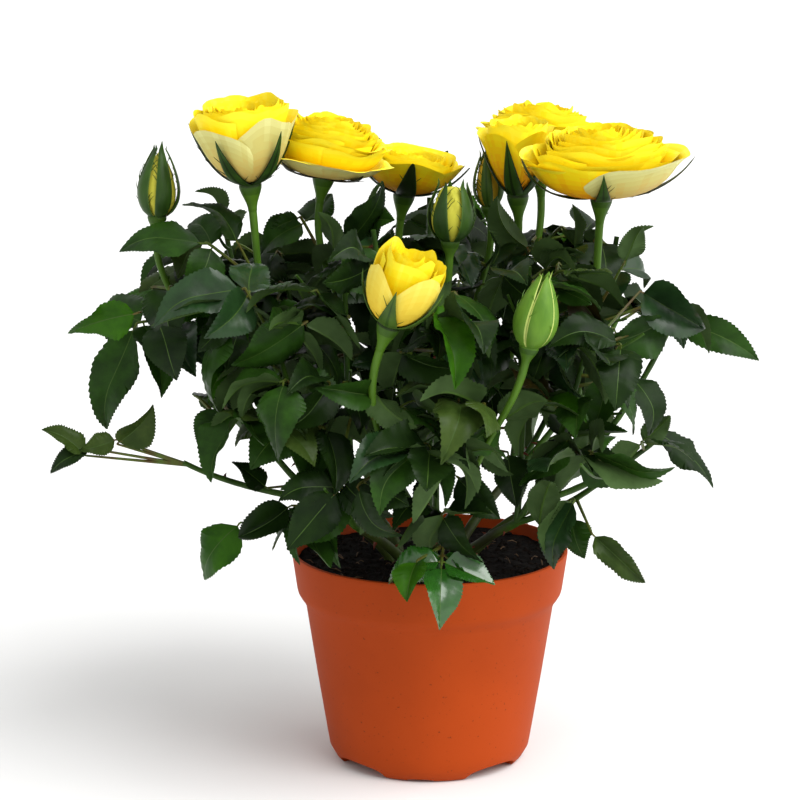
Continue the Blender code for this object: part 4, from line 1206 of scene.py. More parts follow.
LEAF_STALK_RADII = (0.85, 0.5)  # of a compound leaf, at its foot and at its end
LEAF_STALK_ROUND = 5
STALKLET_RADII = (0.5, 0.4)  # of each leaflet
STALKLET = 0.05  # length, as a share of the leaflet's
STALK_CURVE = 3  # pieces between two leaflets


def leaf(blades, twigs, grown_leaf, draw):
    """A compound leaf on its stalk. All its leaflets have one tint."""
    stalk, leaflets, looks = grown_leaf
    tint = draw.choices(TINTS, TINT_WEIGHTS)[0]
    if looks:
        tint = looks[0]
    line = [stalk[0]]
    for k in range(1, len(stalk)):
        before = stalk[max(k - 2, 0)]
        beyond = stalk[min(k + 1, len(stalk) - 1)]
        for step in range(1, STALK_CURVE + 1):
            line.append(between(before, stalk[k - 1], stalk[k], beyond, step / STALK_CURVE))
    radii = taper(*LEAF_STALK_RADII, len(line))
    tube(twigs, line, radii, LEAF_STALK_ROUND, "leaf_stalk")
    for number, tip, normal, width in leaflets:
        foot = stalk[number]
        start = foot.lerp(tip, STALKLET)
        tube(twigs, [foot, start.lerp(tip, STALKLET * 0.8)], STALKLET_RADII, 3, "leaf_stalk")
        leaflet(blades, start, tip, normal, width, tint, draw)


def between(a, b, c, d, t):
    """A point on a smooth line through b and c, with a and d beyond them."""
    return 0.5 * (2 * b + (c - a) * t + (2 * a - 5 * b + 4 * c - d) * t**2
                  + (3 * b - a - 3 * c + d) * t**3)


# ---------------------------------------------------------------- flowers
BUD_FOOT, BUD_LEAN, BUD_FULL = 0.06, 0.75, 0.8  # of the half wave that a bud's side follows


def bud_curve(v, radius, height, blunt):
    """Radius and height of a closed bud's outside, from its foot at v = 0 to its tip at 1."""
    wave = np.sin(math.pi * (BUD_FOOT + (1 - BUD_FOOT - blunt) * v) ** BUD_LEAN)
    return radius * wave**BUD_FULL, height * v


# How the petals of a bloom stand. Guards are its outer petals. Outer and heart are the radii of
# the first and the last inner petal's rim, and rise the heights of their rims between. Climb is a
# guard's rim over the one before. These are shares of the bloom's own radius and height. Wide is
# half the angle that a guard takes, in radians, ruffle the rims' ruffles in millimetres, and rolls
# how far the guards and the others roll over. Point is how far the tips stand out, as a share of
# the petal's length. Bowl and cup are the two places that pull on the curve of a guard and of
# another petal, from its foot to its rim, as shares of the rim's place.
Form = namedtuple("Form", "guards petals outer heart rise climb wide ruffle rolls point bowl cup")
FORMS = {
    "open": Form(
        guards=6, petals=56, outer=0.93, heart=0.05, climb=0, wide=0.95, ruffle=1.9, point=0,
        rolls=(0.9, 0.9), rise=(0.66, 0.82, 0.92, 0.97, 1.0, 1.0, 0.97),
        bowl=((0.64, 0), (0.97, 0.36)), cup=((0.62, 0), (0.94, 0.44)),
    ),
    "cup": Form(
        guards=5, petals=40, outer=0.86, heart=0.06, climb=0, wide=1, ruffle=1.2, point=0.03,
        rolls=(0.5, 0.36), rise=(0.93, 0.92, 0.90, 0.88, 0.87, 0.87, 0.85),
        bowl=((0.50, 0.02), (0.86, 0.45)), cup=((0.42, 0.04), (1, 0.50)),
    ),
    "opening": Form(
        guards=4, petals=18, outer=0.86, heart=0.14, climb=0.06, wide=1.02, ruffle=0.6, point=0.06,
        rolls=(0.25, 0.2), rise=(0.92, 0.98, 0.96, 0.92, 0.86),
        bowl=((0.50, 0), (1.12, 0.36)), cup=((0.50, 0.02), (1.12, 0.45)),
    ),
}
SKIN = ("skin", 0.2, 1.0)
# Deep amber guard outsides are painted shade, for guards whose outside faces away from the light.
SHADE_AMBER = ("yellow", 0.0, 0.7)
# Form, height of the guards' rims as a share of the bloom's, turns of the first guard and the
# first sepal in degrees about the bloom's axis, and the colours of the guards' outsides in
# turn: a ramp, with the places on it at the foot and at the rim.
LOOKS = {
    "bloom_1": ("cup", 0.76, -58, -112, [("skin", 0.3, 0.9)]),
    "bloom_2": ("open", 0.44, -80, -90, [SKIN]),
    "bloom_3": ("cup", 0.90, -125, -56, [SHADE_AMBER]),
    "bloom_4": ("open", 0.56, 10, -150, [("yellow", 0.3, 1.0)]),
    "bloom_5": ("cup", 0.84, -75, -123, [("yellow", 0.05, 0.6)]),
    "bloom_6": ("open", 0.70, 138, 37, [SKIN, SKIN, SKIN, SKIN, SHADE_AMBER, SHADE_AMBER]),
    "bloom_7": ("opening", 0.76, -22, 18, [("soft", 0.1, 0.9)]),
    "bloom_8": ("cup", 0.74, 60, 20, [SKIN]),
}
# How far the petals lean to the right, and their radius as a share of the solid's.
SET = {"bloom_3": (0.04, 1.12), "bloom_4": (0.2, 1.12), "bloom_5": (0.02, 0.84),
       "bloom_6": (-0.08, 1)}
# Places on the yellow ramp of the petals' insides and outsides, each at the foot and at the rim.
# Inner and heart petals sit lower on it: their deeper amber is partly painted shade in the heart.
INSIDES = {"guard": (0.3, 1.0), "outer": (0.1, 0.9), "inner": (0.05, 0.8), "heart": (0.0, 0.7)}
OUTSIDES = {"outer": (0.3, 0.85), "inner": (0.25, 0.8), "heart": (0.2, 0.75)}
OUTER_SHARE, HEART_SHARE = 0.3, 0.8  # of the inner petals, where the next kind begins
GUARD_DROP, PETAL_DROP = 0.32, 0.06  # of the rim at a petal's sides, as a share of its length
GUARD_FOOT, PETAL_FOOT = 0.72, 0.4  # width of a petal's foot, as a share of its own
FOOT_END = 0.6  # share of the way up where a petal has its full width
VEINS = 0.22  # how far the colour runs ahead along a petal's veins, in steps of its ramp
RAMP_LEAN = 1.6  # above 1 the foot's colour reaches further up
FEET = (1.2, 0.5)  # radius and height of the petals' feet
PETAL_THICK = 0.4
ROW_LEAN = 0.7  # below 1 a petal's rows lie closer at its rim
POINT_LEAN = 1.5  # above 1 a petal's tip is narrower
DROP_LEAN = 2.6  # above 1 only its corners drop
FOOT_LEAN = 1.2  # above 1 it widens late
RIM_NOTCHES = ((0.014, 6, 3), (0.008, 9, 5))  # size, pace across, and turn by the petal's seed
ROLL_START = 0.76  # share of the way up where a petal starts to roll over
ROLL_OUT, ROLL_DOWN = 3.0, 2.2  # millimetres at the rim of a fully rolled petal
LIP = (1.15, 0.75)  # how much of the roll its middle has, and by how much less its corners
CORNERS_IN = 0.07  # of the radius
# Ruffles that neighbours share, so that they nest: size, pace round the bloom, turn to a millimetre
# of its radius, and turn by the bloom's own wave.
SHARED_OUT = ((1, 3, 0.12, 1), (0.6, 5, -0.2, 2))
SHARED_UP = ((1, 4, 0.15, -1), (0.5, 6, 0.25, 0))
RUFFLES_OUT = (0.45, 0.20)  # shares of the ruffles that all petals have and of its own
RUFFLES_UP = (0.36, 0.30)
SMALL_RADIUS = 9  # in millimetres, under which ruffles fade
GUARD_RUFFLE = 1.05  # of the form's
INWARD_LEAN = 0.9  # below 1 the petals stand closer together at the heart
PETAL_WIDE = 0.9  # angle of the outermost petals, as a share of the guards'
CALMER = 0.4  # share by which the heart's petals are ruffled less
GUARDS_IN = 0.015  # of the radius, from one guard to the next
# How much petals differ: factors, but for the turns, which are in radians.
GUARD_SPREADS = {"height": (0.95, 1.05), "turn": (-0.1, 0.1), "roll": (0.5, 1.4)}
PETAL_SPREADS = {
    "radius": (0.95, 1.03), "height": (0.96, 1.01), "turn": (-0.3, 0.3), "roll": (0.3, 1.4),
    "ruffle": (0.7, 1.2), "point": (0.3, 1.2),
}
MOST_HALF = 1.6  # radians, half the angle of the innermost petals


def bowl_curve(w, rim, pulls):
    """Radius and height at the share w of the way from the foot to the rim."""
    made = []
    for foot, end, first, second in zip(FEET, rim, *pulls):
        m = 1 - w
        made.append(foot * m**3 + 3 * first * end * m * m * w + 3 * second * end * m * w * w
                    + end * w**3)
    return made


def along_list(values, s):
    """The value at a share s of the way through a list."""
    return float(np.interp(s * (len(values) - 1), range(len(values)), values))


def petal(shape, place, turn, rim, pulls, half, foot, roll, ruffle, point, drop, seed, wave, tones):
    """One petal from the foot of the bloom to its rim, which is (radius, height). At the foot it is
    narrower than its half angle by a share. Seed turns its own small waves, and wave those of the
    whole bloom. Its tones are the places on a ramp of its inside and its outside."""
    radius = rim[0]
    v = (np.linspace(0, 1, PETAL_ROWS) ** ROW_LEAN)[:, None] * np.ones(PETAL_COLUMNS)
    u = np.ones(PETAL_ROWS)[:, None] * np.linspace(-1, 1, PETAL_COLUMNS)
    notch = sum(size * np.sin(pace * u + shift * seed) for size, pace, shift in RIM_NOTCHES)
    tipped = point * (1 - np.abs(u)) ** POINT_LEAN
    w = v * (1 - drop * np.abs(u) ** DROP_LEAN + tipped + notch * min(1, ruffle))
    r, z = bowl_curve(w, rim, pulls)
    a = turn + u * half * (foot + (1 - foot) * np.clip(w / FOOT_END, 0, 1) ** FOOT_LEAN)
    over = np.clip((w - ROLL_START) / (1 - ROLL_START), 0, 1.3)
    lip = LIP[0] - LIP[1] * u * u
    r = r + roll * ROLL_OUT * over**1.5 * lip - CORNERS_IN * radius * np.abs(u) ** 4 * w
    z = z - roll * ROLL_DOWN * over**2.4 * lip
    inner = min(1, radius / SMALL_RADIUS)
    out, up = (
        sum(size * np.sin(pace * a + across * radius + own * wave)
            for size, pace, across, own in kind)
        for kind in (SHARED_OUT, SHARED_UP)
    )
    own_out, own_up = np.sin(8 * u + 5 * seed), np.sin(7 * u + 7 * seed)
    r = r + ruffle * inner * w**4 * (RUFFLES_OUT[0] * out + RUFFLES_OUT[1] * own_out)
    z = z + ruffle * inner * w**5 * (RUFFLES_UP[0] * up + RUFFLES_UP[1] * own_up)
    grid = np.stack([r * np.cos(a), r * np.sin(a), z], -1)
    lens(shape, grid, PETAL_THICK, *(veined(*ramp, seed) for ramp in tones), place)


def veined(ramp, foot, rim, seed):
    """Numbers of the finishes of a petal's squares along a ramp, from its foot to its rim. Its
    columns run a little ahead or behind, as veins do."""
    share = (np.arange(PETAL_ROWS - 1) + 0.5)[:, None] / (PETAL_ROWS - 1)
    columns = np.arange(PETAL_COLUMNS - 1)
    ahead = VEINS * (np.sin(2.4 * columns + 3 * seed) + np.sin(4.1 * columns + seed))
    last = RAMPS[ramp][1] - 1
    place = foot + (rim - foot) * share**RAMP_LEAN
    steps = np.round(place * last + ahead).clip(0, last).astype(int)
    first = NUMBER[f"petal_{ramp}_0"]
    return first + steps


def set_petals(name):
    """Axis, radius and height of a bloom's petals."""
    _, axis, radius, height = BLOOMS[name]
    lean, share = SET.get(name, (0, 1))
    return Vector((axis[0] + lean, *axis[1:])).normalized(), radius * share, height


def petals_of(name):
    """The petals of a bloom: a ring of guards, and the others by the golden angle inward."""
    top = BLOOMS[name][0]
    axis, radius, height = set_petals(name)
    form, guard_height, first, _, outsides = LOOKS[name]
    form = FORMS[form]
    shape = Shape()
    draw = random.Random(f"petals {name}")
    guard = {kind: partial(draw.uniform, *ends) for kind, ends in GUARD_SPREADS.items()}
    other = {kind: partial(draw.uniform, *ends) for kind, ends in PETAL_SPREADS.items()}
    wave, turn = draw.uniform(0, 6), math.radians(first)
    for k in range(form.guards):
        high = (guard_height + form.climb * k) * guard["height"]()
        rim = (radius * (1 - GUARDS_IN * k), height * high)
        tones = (("yellow", *INSIDES["guard"]), outsides[k % len(outsides)])
        petal(shape, (top, axis), turn + guard["turn"](), rim, form.bowl, form.wide, GUARD_FOOT,
              form.rolls[0] * guard["roll"](), form.ruffle * GUARD_RUFFLE, form.point, GUARD_DROP,
              k, wave, tones)
        turn += 2 * math.pi / form.guards
    for k in range(form.petals):
        s = k / (form.petals - 1)
        turn += GOLDEN_ANGLE
        share = form.outer + (form.heart - form.outer) * s**INWARD_LEAN
        rim = (radius * share * other["radius"](),
               height * along_list(form.rise, s) * other["height"]())
        half = min(MOST_HALF, form.wide * PETAL_WIDE / math.sqrt(share))
        kind = "outer" if s < OUTER_SHARE else "inner" if s < HEART_SHARE else "heart"
        tones = (("yellow", *INSIDES[kind]), ("yellow", *OUTSIDES[kind]))
        petal(shape, (top, axis), turn + other["turn"](), rim, form.cup, half, PETAL_FOOT,
              form.rolls[1] * (1 - s) * other["roll"](),
              form.ruffle * (1 - CALMER * s) * other["ruffle"](), form.point * other["point"](),
              PETAL_DROP, k, wave, tones)
    shape.piece(f"petals_{name}", "petal", name)


HIP_PROFILE = (  # share of the way up, and radius as a share of the widest
    (0, 0.39), (0.12, 0.41), (0.28, 0.50), (0.45, 0.66), (0.62, 0.83), (0.78, 0.96), (0.9, 1.0),
    (0.98, 0.96), (1.04, 0.84),
)
HIP_CROWN = 0.8  # height of its middle over its rim, within the petals
HIP_ROUND = 16


def hip(shape, top, axis, length, radius, upper):
    """The swollen green foot of a flower, smoothly widening from its stalk."""
    profile = [(0, -length - HIP_OVERLAP)]
    profile += [(radius * across, -length * (1 - share)) for share, across in HIP_PROFILE]
    profile.append((0, HIP_CROWN))
    finishes = ["stalk_green"] * 5 + ["hip_green"] * 2 + [upper] * 3
    turned(shape, profile, HIP_ROUND, finishes, (top, axis))


def shoot_ending_in(name):
    for mass in MASSES:
        for shoot in shoots_of(mass):
            if shoot[0] == name:
                return shoot
    raise ValueError(f"no shoot ends in {name}")


STALK_POINTS = 19
STALK_ROUND = 10
JOIN = 0.02  # share of the shoot, over which the stalk leaves it


def stalk(shape, name, hip_foot, axis, radius):
    """From a place on its shoot to the foot of the hip."""
    _, start, bend, end = shoot_ending_in(name)
    foot = bezier(start, bend, end, STALK_START)
    heading = (bezier(start, bend, end, STALK_START + JOIN) - foot).normalized()
    reach = (hip_foot - foot).length
    first = foot + heading * reach * STALK_BENDS[0]
    last = hip_foot - axis * reach * STALK_BENDS[1]
    line = []
    for t in taper(0, 1, STALK_POINTS):
        line.append(bezier(foot, first, last, t).lerp(bezier(first, last, hip_foot, t), t))
    line.append(hip_foot + axis * HIP_OVERLAP)
    radii = taper(SHOOT_TIP_RADIUS * 1.1, radius, len(line))
    tube(shape, line, radii, STALK_ROUND, "stalk_green")


SEPAL_ROWS = 15
SEPAL_COLUMNS = (-1, -0.88, -0.5, -0.14, 0.14, 0.5, 0.88, 1)  # across, from edge to edge
SEPAL_THICK = 0.5
SEPAL_WAVE = (0.2, 0.8)  # where on a half wave its width begins, and its lean
SEPAL_TIP = 0.12  # half its width at the tip, in millimetres
SEPAL_CUP = 0.10  # of half its width
SEPAL_KEEL = 0.35  # rise of its midrib in millimetres
KEEL_HALF = 0.22  # of half its width
STAND_SHARES = (0.3, 0.7)  # of how far it stands off: at its foot, and added at its tip
LOWERED = 0.8  # share of that by which it comes down too
LEAST_ROUND = 0.6  # radius in millimetres, for the share of the circle that it may take
LEAST_CIRCLE = 1.5  # radius of the smallest circle that its width is bent onto
SEPAL_SPARE = 0.1
CUP_OUT = 0.5  # share of its cup that shows outside
BEND_START = 0.45
HAIR_LENGTHS = (2.5, 5)
HAIR_RADII = (0.22, 0.16, 0.06)


def sepal(shape, place, turn, profile, length, width, stand, bend_out, tones, hairs, draw):
    """A long pointed sepal that lies along a flower's outside. Profile gives (radius, height) at a
    share of the way up. Width is its widest in millimetres, and the most that it takes of its
    fifth of the way round. Tones are the finishes of its middle, its face and its edge."""
    t = np.linspace(0, 1, SEPAL_ROWS)
    r, z = profile(t * length)
    slope = np.stack([np.gradient(r), np.gradient(z)], -1)
    slope /= np.linalg.norm(slope, axis=1, keepdims=True)
    bent = np.clip((t - BEND_START) / (1 - BEND_START), 0, 1) ** 2
    off = stand * (STAND_SHARES[0] + STAND_SHARES[1] * t) + bend_out * bent
    r, z = r + slope[:, 1] * off, z - slope[:, 0] * off * LOWERED
    widest, cover = width
    begun, lean = SEPAL_WAVE
    half = widest / 2 * np.sin(math.pi * (begun + (1 - begun) * t**lean)) + SEPAL_TIP
    half = np.minimum(half, cover * math.pi / SEPALS * np.maximum(r, LEAST_ROUND) + SEPAL_SPARE)
    s = np.array(SEPAL_COLUMNS)
    x = half[:, None] * s
    cup = SEPAL_CUP * half[:, None] * (1 - s**2)
    keel = SEPAL_KEEL * np.exp(-((s / KEEL_HALF) ** 2)) * (1 - t[:, None])
    # its width is bent onto the circle of the flower there
    angle = turn + x / np.maximum(r[:, None], LEAST_CIRCLE)
    out = r[:, None] + cup * CUP_OUT + keel
    grid = np.stack([out * np.cos(angle), out * np.sin(angle), z[:, None] + 0 * x], -1)
    middle, face, rim = (NUMBER[tone] for tone in tones)
    cells = np.full((SEPAL_ROWS - 1, len(s) - 1), face)
    cells[:, len(s) // 2 - 1] = middle
    cells[:, 0] = cells[:, -1] = rim
    lens(shape, grid, SEPAL_THICK, face, cells, place)
    for _ in range(hairs):
        hair(shape, grid, place, tones[0], draw)


def sepals(shape, place, first, outside, length, width, stand, bend, tones, hairs, spreads, draw):
    """A flower's sepals, evenly round it from the first one's turn."""
    for k in range(SEPALS):
        turn = first + 2 * math.pi * k / SEPALS + draw.uniform(*spreads["turn"])
        long = length * draw.uniform(*spreads["length"])
        bent = bend * draw.uniform(*spreads["bend"])
        sepal(shape, place, turn, outside, long, width, stand, bent, tones, hairs, draw)


def hair(shape, grid, place, tone, draw):
    """A hair that leans out and up from a sepal's edge."""
    row = draw.randint(3, SEPAL_ROWS - 4)
    hand = draw.choice((0, -1))
    corners = grid[[row, row + 1, row], [hand, hand, grid.shape[1] // 2]]
    foot, ahead, inner = (Vector(corner) for corner in moved(corners, *place))
    way = ((ahead - foot).normalized() * 1.2 + (foot - inner).normalized()).normalized()
    reach = draw.uniform(*HAIR_LENGTHS)
    bulge = (foot - Vector(place[0])).normalized() * 0.5
    line = [foot, foot + way * reach * 0.5 + bulge, foot + way * reach]
    tube(shape, line, HAIR_RADII, 3, tone)


CALYXES = {  # share of the way up the guards' outsides, width, bend out, tones
    "bloom_1": (0.96, 7.5, 1.5, ("sepal_dark", "sepal_green", "sepal_dark")),
    "bloom_2": (0.86, 7.0, 1.0, ("sepal_dark", "sepal_dark", "sepal_brown")),
    "bloom_3": (1.08, 8.5, 1.5, ("sepal_dark", "sepal_dark", "sepal_green")),
    "bloom_4": (0.90, 6.5, 2.0, ("sepal_dark", "sepal_green", "sepal_dark")),
    "bloom_5": (0.92, 8.0, 1.2, ("sepal_dark", "sepal_green", "sepal_dark")),
    "bloom_6": (1.0, 7.0, 4.0, ("sepal_dark", "sepal_green", "sepal_brown")),
    "bloom_7": (0.95, 8.5, 1.5, ("sepal_green", "sepal_mid", "sepal_mid")),
    "bloom_8": (0.90, 6.5, 2.0, ("sepal_dark", "sepal_green", "sepal_dark")),
}
# How blunt, the sepals' cover and their width as a share of the radius, finish of the petals, and
# tones of the sepals.
BUD_LOOKS = {
    "bud_1": (0.0, 0.86, 0.84, "petal_bud", ("sepal_green", "sepal_green", "sepal_mid")),
    "bud_2": (0.16, 0.86, 0.76, "petal_bud", ("sepal_green", "sepal_green", "sepal_mid")),
    "bud_3": (0.06, 0.84, 0.8, "petal_soft_0", ("sepal_green", "sepal_mid", "sepal_mid")),
    "bud_4": (0.0, 1.03, 1.5, "sepal_fresh", ("sepal_fresh", "sepal_fresh", "sepal_edge")),
    "bud_5": (0.0, 0.86, 0.9, "petal_bud", ("sepal_green", "sepal_green", "sepal_mid")),
}


# How much sepals differ: turns in radians, factors on lengths, and factors or millimetres of bend.
CALYX_SPREADS = {"turn": (-0.1, 0.1), "length": (0.92, 1.04), "bend": (0.5, 1.6)}
BUD_SPREADS = {"turn": (-0.06, 0.06), "length": (1.02, 1.16), "bend": (0.6, 2.4)}
BUD_SEPAL_TURN = 2 * math.pi * 0.35 / SEPALS
FEW_HAIRS, MANY_HAIRS = 3, 9  # on a sepal
BUD_ROUND = 40
BUD_PETALS = 4  # that show their edges, and turns that an edge winds from foot to tip
BUD_WIND = 1.3
BUD_STEP = 0.12  # depth of an edge, as a share of the radius
BUD_SINK = 0.125  # how much lower a blunt bud is where its radius is under a share of its own
BUD_SUNK = 0.92
BUD_RINGS = 16
PETALS_RADIUS, PETALS_HEIGHT = 0.93, 0.97  # within the bud's own


def calyx_of(name):
    """The stalk, hip and sepals of a bloom."""
    top, axis = Vector(BLOOMS[name][0]), Vector(BLOOMS[name][1]).normalized()
    petals_axis, radius, height = set_petals(name)
    share, width, bend_out, tones = CALYXES[name]
    draw = random.Random(f"calyx {name}")
    shape = Shape()
    stalk(shape, name, top - axis * HIP_LENGTH, axis, STALK_RADIUS)
    hip(shape, top, axis, HIP_LENGTH, HIP_RADIUS, "hip_dark")

    form, guard_height, _, first, _ = LOOKS[name]
    rim = (radius, height * guard_height)

    def outside(v):
        r, z = bowl_curve(np.clip(v, 0, 1), rim, FORMS[form].bowl)
        return np.maximum(r, HIP_RADIUS * 0.85), z - 0.6 * (1 - v)

    sepals(shape, (top, petals_axis), math.radians(first), outside, share, (width, 2), 0.9,
           bend_out, tones, FEW_HAIRS, CALYX_SPREADS, draw)
    shape.piece(f"calyx_{name}", "cane", name)


def bud_of(name):
    """A closed bud: its wrapped petals, and its stalk, hip and sepals."""
    top, axis, radius, length = BUDS[name]
    axis, top = Vector(axis).normalized(), Vector(top)
    blunt, cover, wide, petal_tone, tones = BUD_LOOKS[name]
    draw = random.Random(f"bud {name}")
    body, green = Shape(), Shape()
    heights = np.linspace(0, PETALS_HEIGHT, BUD_RINGS)
    rings = [bud_curve(v, radius * PETALS_RADIUS, length * PETALS_HEIGHT, blunt) for v in heights]
    profile = [(0, -0.5), *((float(r), float(z)) for r, z in rings), (0, length * 0.98)]

    def wrapped(points):
        """The wrapped petals' edges wind up the bud as shallow steps."""
        angle = np.arctan2(points[..., 1], points[..., 0])
        wind = (angle * BUD_PETALS / (2 * math.pi) + points[..., 2] / length * BUD_WIND) % 1
        within = 1 - BUD_STEP * wind
        points[..., :2] *= within[..., None]
        points[..., 2] *= 1 - BUD_SINK * blunt * (within < BUD_SUNK)
        return points

    turned(body, profile, BUD_ROUND, petal_tone, (top, axis), wrapped)
    stalk(green, name, top - axis * BUD_HIP_LENGTH, axis, BUD_STALK_RADIUS)
    fresh = tones[0] == "sepal_fresh"
    hip(green, top, axis, BUD_HIP_LENGTH, BUD_HIP_RADIUS, "sepal_fresh" if fresh else "hip_green")

    def outside(v):
        r, z = bud_curve(np.clip(v, 0, 1) * 0.99, radius, length, blunt)
        return np.maximum(r, 0.4), z + np.clip(v - 1, 0, 1) * length

    sepals(green, (top, axis), BUD_SEPAL_TURN, outside, 1, (radius * wide, cover), 0.6, 1, tones,
           FEW_HAIRS if fresh else MANY_HAIRS, BUD_SPREADS, draw)
    body.piece(f"petals_{name}", "petal", name)
    green.piece(f"calyx_{name}", "cane", name)


# ---------------------------------------------------------------- canes, shoots and masses
BARK_RELIEF = 0.10  # of the radius
BARK_GRAIN = (0.9, 0.9, 0.22)  # of the noise per millimetre, slower along the stem
CANE_THORNS, SHOOT_THORNS = 9, 22  # millimetres of stem to a thorn
THORN_LENGTHS = (2.0, 3.4)
THORN_RADII = (0.34, 0.16)  # at its foot and middle, as shares of its length
THORN_TIP = 0.05


def barked(rings):
    """Lengthwise ridges and small swellings of a stem, as a factor on its radius."""
    made = [[noise.noise(Vector(point * BARK_GRAIN)) for point in ring] for ring in rings]
    return 1 + BARK_RELIEF * np.array(made)


def thorn(shape, foot, out, up, size):
    """A curved thorn, flat from side to side, that hooks downward."""
    line = [foot - out * 0.5, foot + out * size * 0.5 - up * size * 0.1,
            foot + out * size - up * size * 0.35]
    tube(shape, line, [size * THORN_RADII[0], size * THORN_RADII[1], THORN_TIP], 5, "thorn_red")


def thorns_on(shape, line, radii, draw, spacing):
    count = int((line[-1] - line[0]).length / spacing)
    for _ in range(count):
        k = draw.randint(1, len(line) - 2)
        up = (line[k + 1] - line[k]).normalized()
        _, side, across = frame_along(up)
        turn = draw.uniform(0, 2 * math.pi)
        out = side * math.cos(turn) + across * math.sin(turn)
        thorn(shape, line[k] + out * radii[k] * 0.8, out, up, draw.uniform(*THORN_LENGTHS))


def stems():
    for mass in MASSES:
        draw = random.Random(f"stem {mass}")
        shape = Shape()
        line = cane_line(mass, CANE_POINTS)
        radii = taper(CANE_FOOT_RADIUS, CANE_TIP_RADIUS, len(line))
        line[0] = line[0] - UP * BELOW
        tube(shape, line, radii, CANE_ROUND, "cane_bark", flat_foot=True, relief=barked)
        thorns_on(shape, line, radii, draw, CANE_THORNS)
        shape.piece(f"bark_{mass}", "cane", f"cane_{mass}")


def masses():
    """The leaves of each mass, and its wood: the stub over its cane, shoots and twigs."""
    leaves, twigs = grown()
    for mass in MASSES:
        draw = random.Random(f"forms {mass}")
        blades, wood = Shape(), Shape()
        line = cane_line(mass)
        heading = (line[-1] - line[-2]).normalized()
        stub = [line[-1] - heading, line[-1] + heading * STUB * 0.5, line[-1] + heading * STUB]
        radii = [CANE_TIP_RADIUS, CANE_TIP_RADIUS, CANE_TIP_RADIUS * 0.7]
        tube(wood, stub, radii, CANE_ROUND, "shoot_green")
        for name, start, bend, end in shoots_of(mass):
            share = STALK_START + JOIN if name in FLOWERS else 1
            line = [bezier(start, bend, end, t) for t in taper(0, share, SHOOT_POINTS)]
            radii = taper(CANE_TIP_RADIUS * SHOOT_ROOT, SHOOT_TIP_RADIUS, len(line))
            tube(wood, line, radii, SHOOT_ROUND, "shoot_green", relief=barked)
            thorns_on(wood, line, radii, draw, SHOOT_THORNS)
        for _, start, bend, end in twigs[mass]:
            radii = taper(TWIG_RADIUS, TWIG_TIP_RADIUS, TWIG_POINTS)
            tube(wood, curve(start, bend, end, TWIG_POINTS), radii, TWIG_ROUND, "shoot_green")
        for grown_leaf in leaves[mass]:
            leaf(blades, wood, grown_leaf, draw)
        blades.piece(f"foliage_{mass}", "leaf", f"leaves_{mass}")
        wood.piece(f"twigs_{mass}", "cane", f"leaves_{mass}")


# ---------------------------------------------------------------- pot and peat
def bar(turn, half_width, height, start, end, steps=16):
    """(points, faces) of a round-topped bar along the radius at this turn from the front."""
    out = Vector((math.sin(turn), -math.cos(turn), 0))
    side = Vector((math.cos(turn), math.sin(turn), 0))
    section = [(-half_width, -BELOW)]
    for k in range(steps + 1):
        angle = math.pi * k / steps
        section.append((-half_width * math.cos(angle), height * math.sin(angle) ** ARCH_SQUARENESS))
    section.append((half_width, -BELOW))
    points = [out * at + side * x + UP * z for at in (start, end) for x, z in section]
    count = len(section)
    faces = [list(range(count)), list(reversed(range(count, 2 * count)))]
    for k in range(count):
        n = (k + 1) % count
        faces.append([k, k + count, n + count, n])
    return points, faces


def plain_object(name, points, faces):
    data = bpy.data.meshes.new(name)
    data.from_pydata([Vector(p) * MM for p in points], [], faces)
    made = bpy.data.objects.new(name, data)
    bpy.context.scene.collection.objects.link(made)
    return made


def pot():
    """The pot's wall and floor about Z, less its arches, notches and drain holes. The profiles are
    (radius, height), the outside from the base up and the inside from the rim down."""
    outside = [
        (39.0, 0), (40.4, 0.3), (41.6, 1.6), (42.6, 3.4), (43.8, 5.5), (44.6, 10), (49.2, 38),
        (53.95, COLLAR_HEIGHT), (54.5, 69.9), (54.9, 71.0), (56.2, 72.6),
        (57.3, 74.5), (57.7, 76), (58.0, 78), (59.0, 85), (59.9, 91.2), (RIM_RADIUS, 92.2),
        (RIM_RADIUS - 0.15, 92.8), (RIM_RADIUS - 0.6, POT_HEIGHT),
    ]
    inside = [
        (RIM_RADIUS - 1.4, POT_HEIGHT), (RIM_RADIUS - 1.7, POT_HEIGHT - 0.7), (56.0, 76),
        (54.6, 73), (52.8, COLLAR_HEIGHT + 0.5), (42.7, FLOOR_HEIGHT),
    ]
    shape = Shape()
    turned(shape, [(0, 0), *outside, *inside, (0, FLOOR_HEIGHT)], POT_SIDES, "pot_plastic")
    body = shape.piece("pot_wall", "pot", "pot", sharp=POT_SHARP_ANGLE)
    cutters = []
    for quarter in range(ARCHES):
        step = quarter * 2 * math.pi / ARCHES
        centre = Vector((math.sin(ARCH_TURN + step), -math.cos(ARCH_TURN + step), 0)) * DRAIN_AT
        drain = Shape()
        turned(drain, [(0, -BELOW), (DRAIN_RADIUS, -BELOW), (DRAIN_RADIUS, FLOOR_HEIGHT + 2),
                       (0, FLOOR_HEIGHT + 2)], 24, "pot_plastic", (centre, UP))
        cutters += [
            bar(ARCH_TURN + step, ARCH_HALF_WIDTH, ARCH_HEIGHT, ARCH_INNER_END, RIM_RADIUS),
            bar(NOTCH_TURN + step, NOTCH_HALF_WIDTH, NOTCH_HEIGHT, NOTCH_INNER_END, RIM_RADIUS),
            (drain.points[0], drain.triangles[0].tolist()),
        ]
    helpers = [plain_object("cutter", *cutter) for cutter in cutters]
    for helper in helpers:
        cut = body.modifiers.new("cut", "BOOLEAN")
        cut.operation = "DIFFERENCE"
        cut.object = helper
    graph = bpy.context.evaluated_depsgraph_get()
    made = bpy.data.meshes.new_from_object(body.evaluated_get(graph))
    body.modifiers.clear()
    body.data = made
    made.set_sharp_from_angle(angle=POT_SHARP_ANGLE)
    for helper in helpers:
        bpy.data.objects.remove(helper)


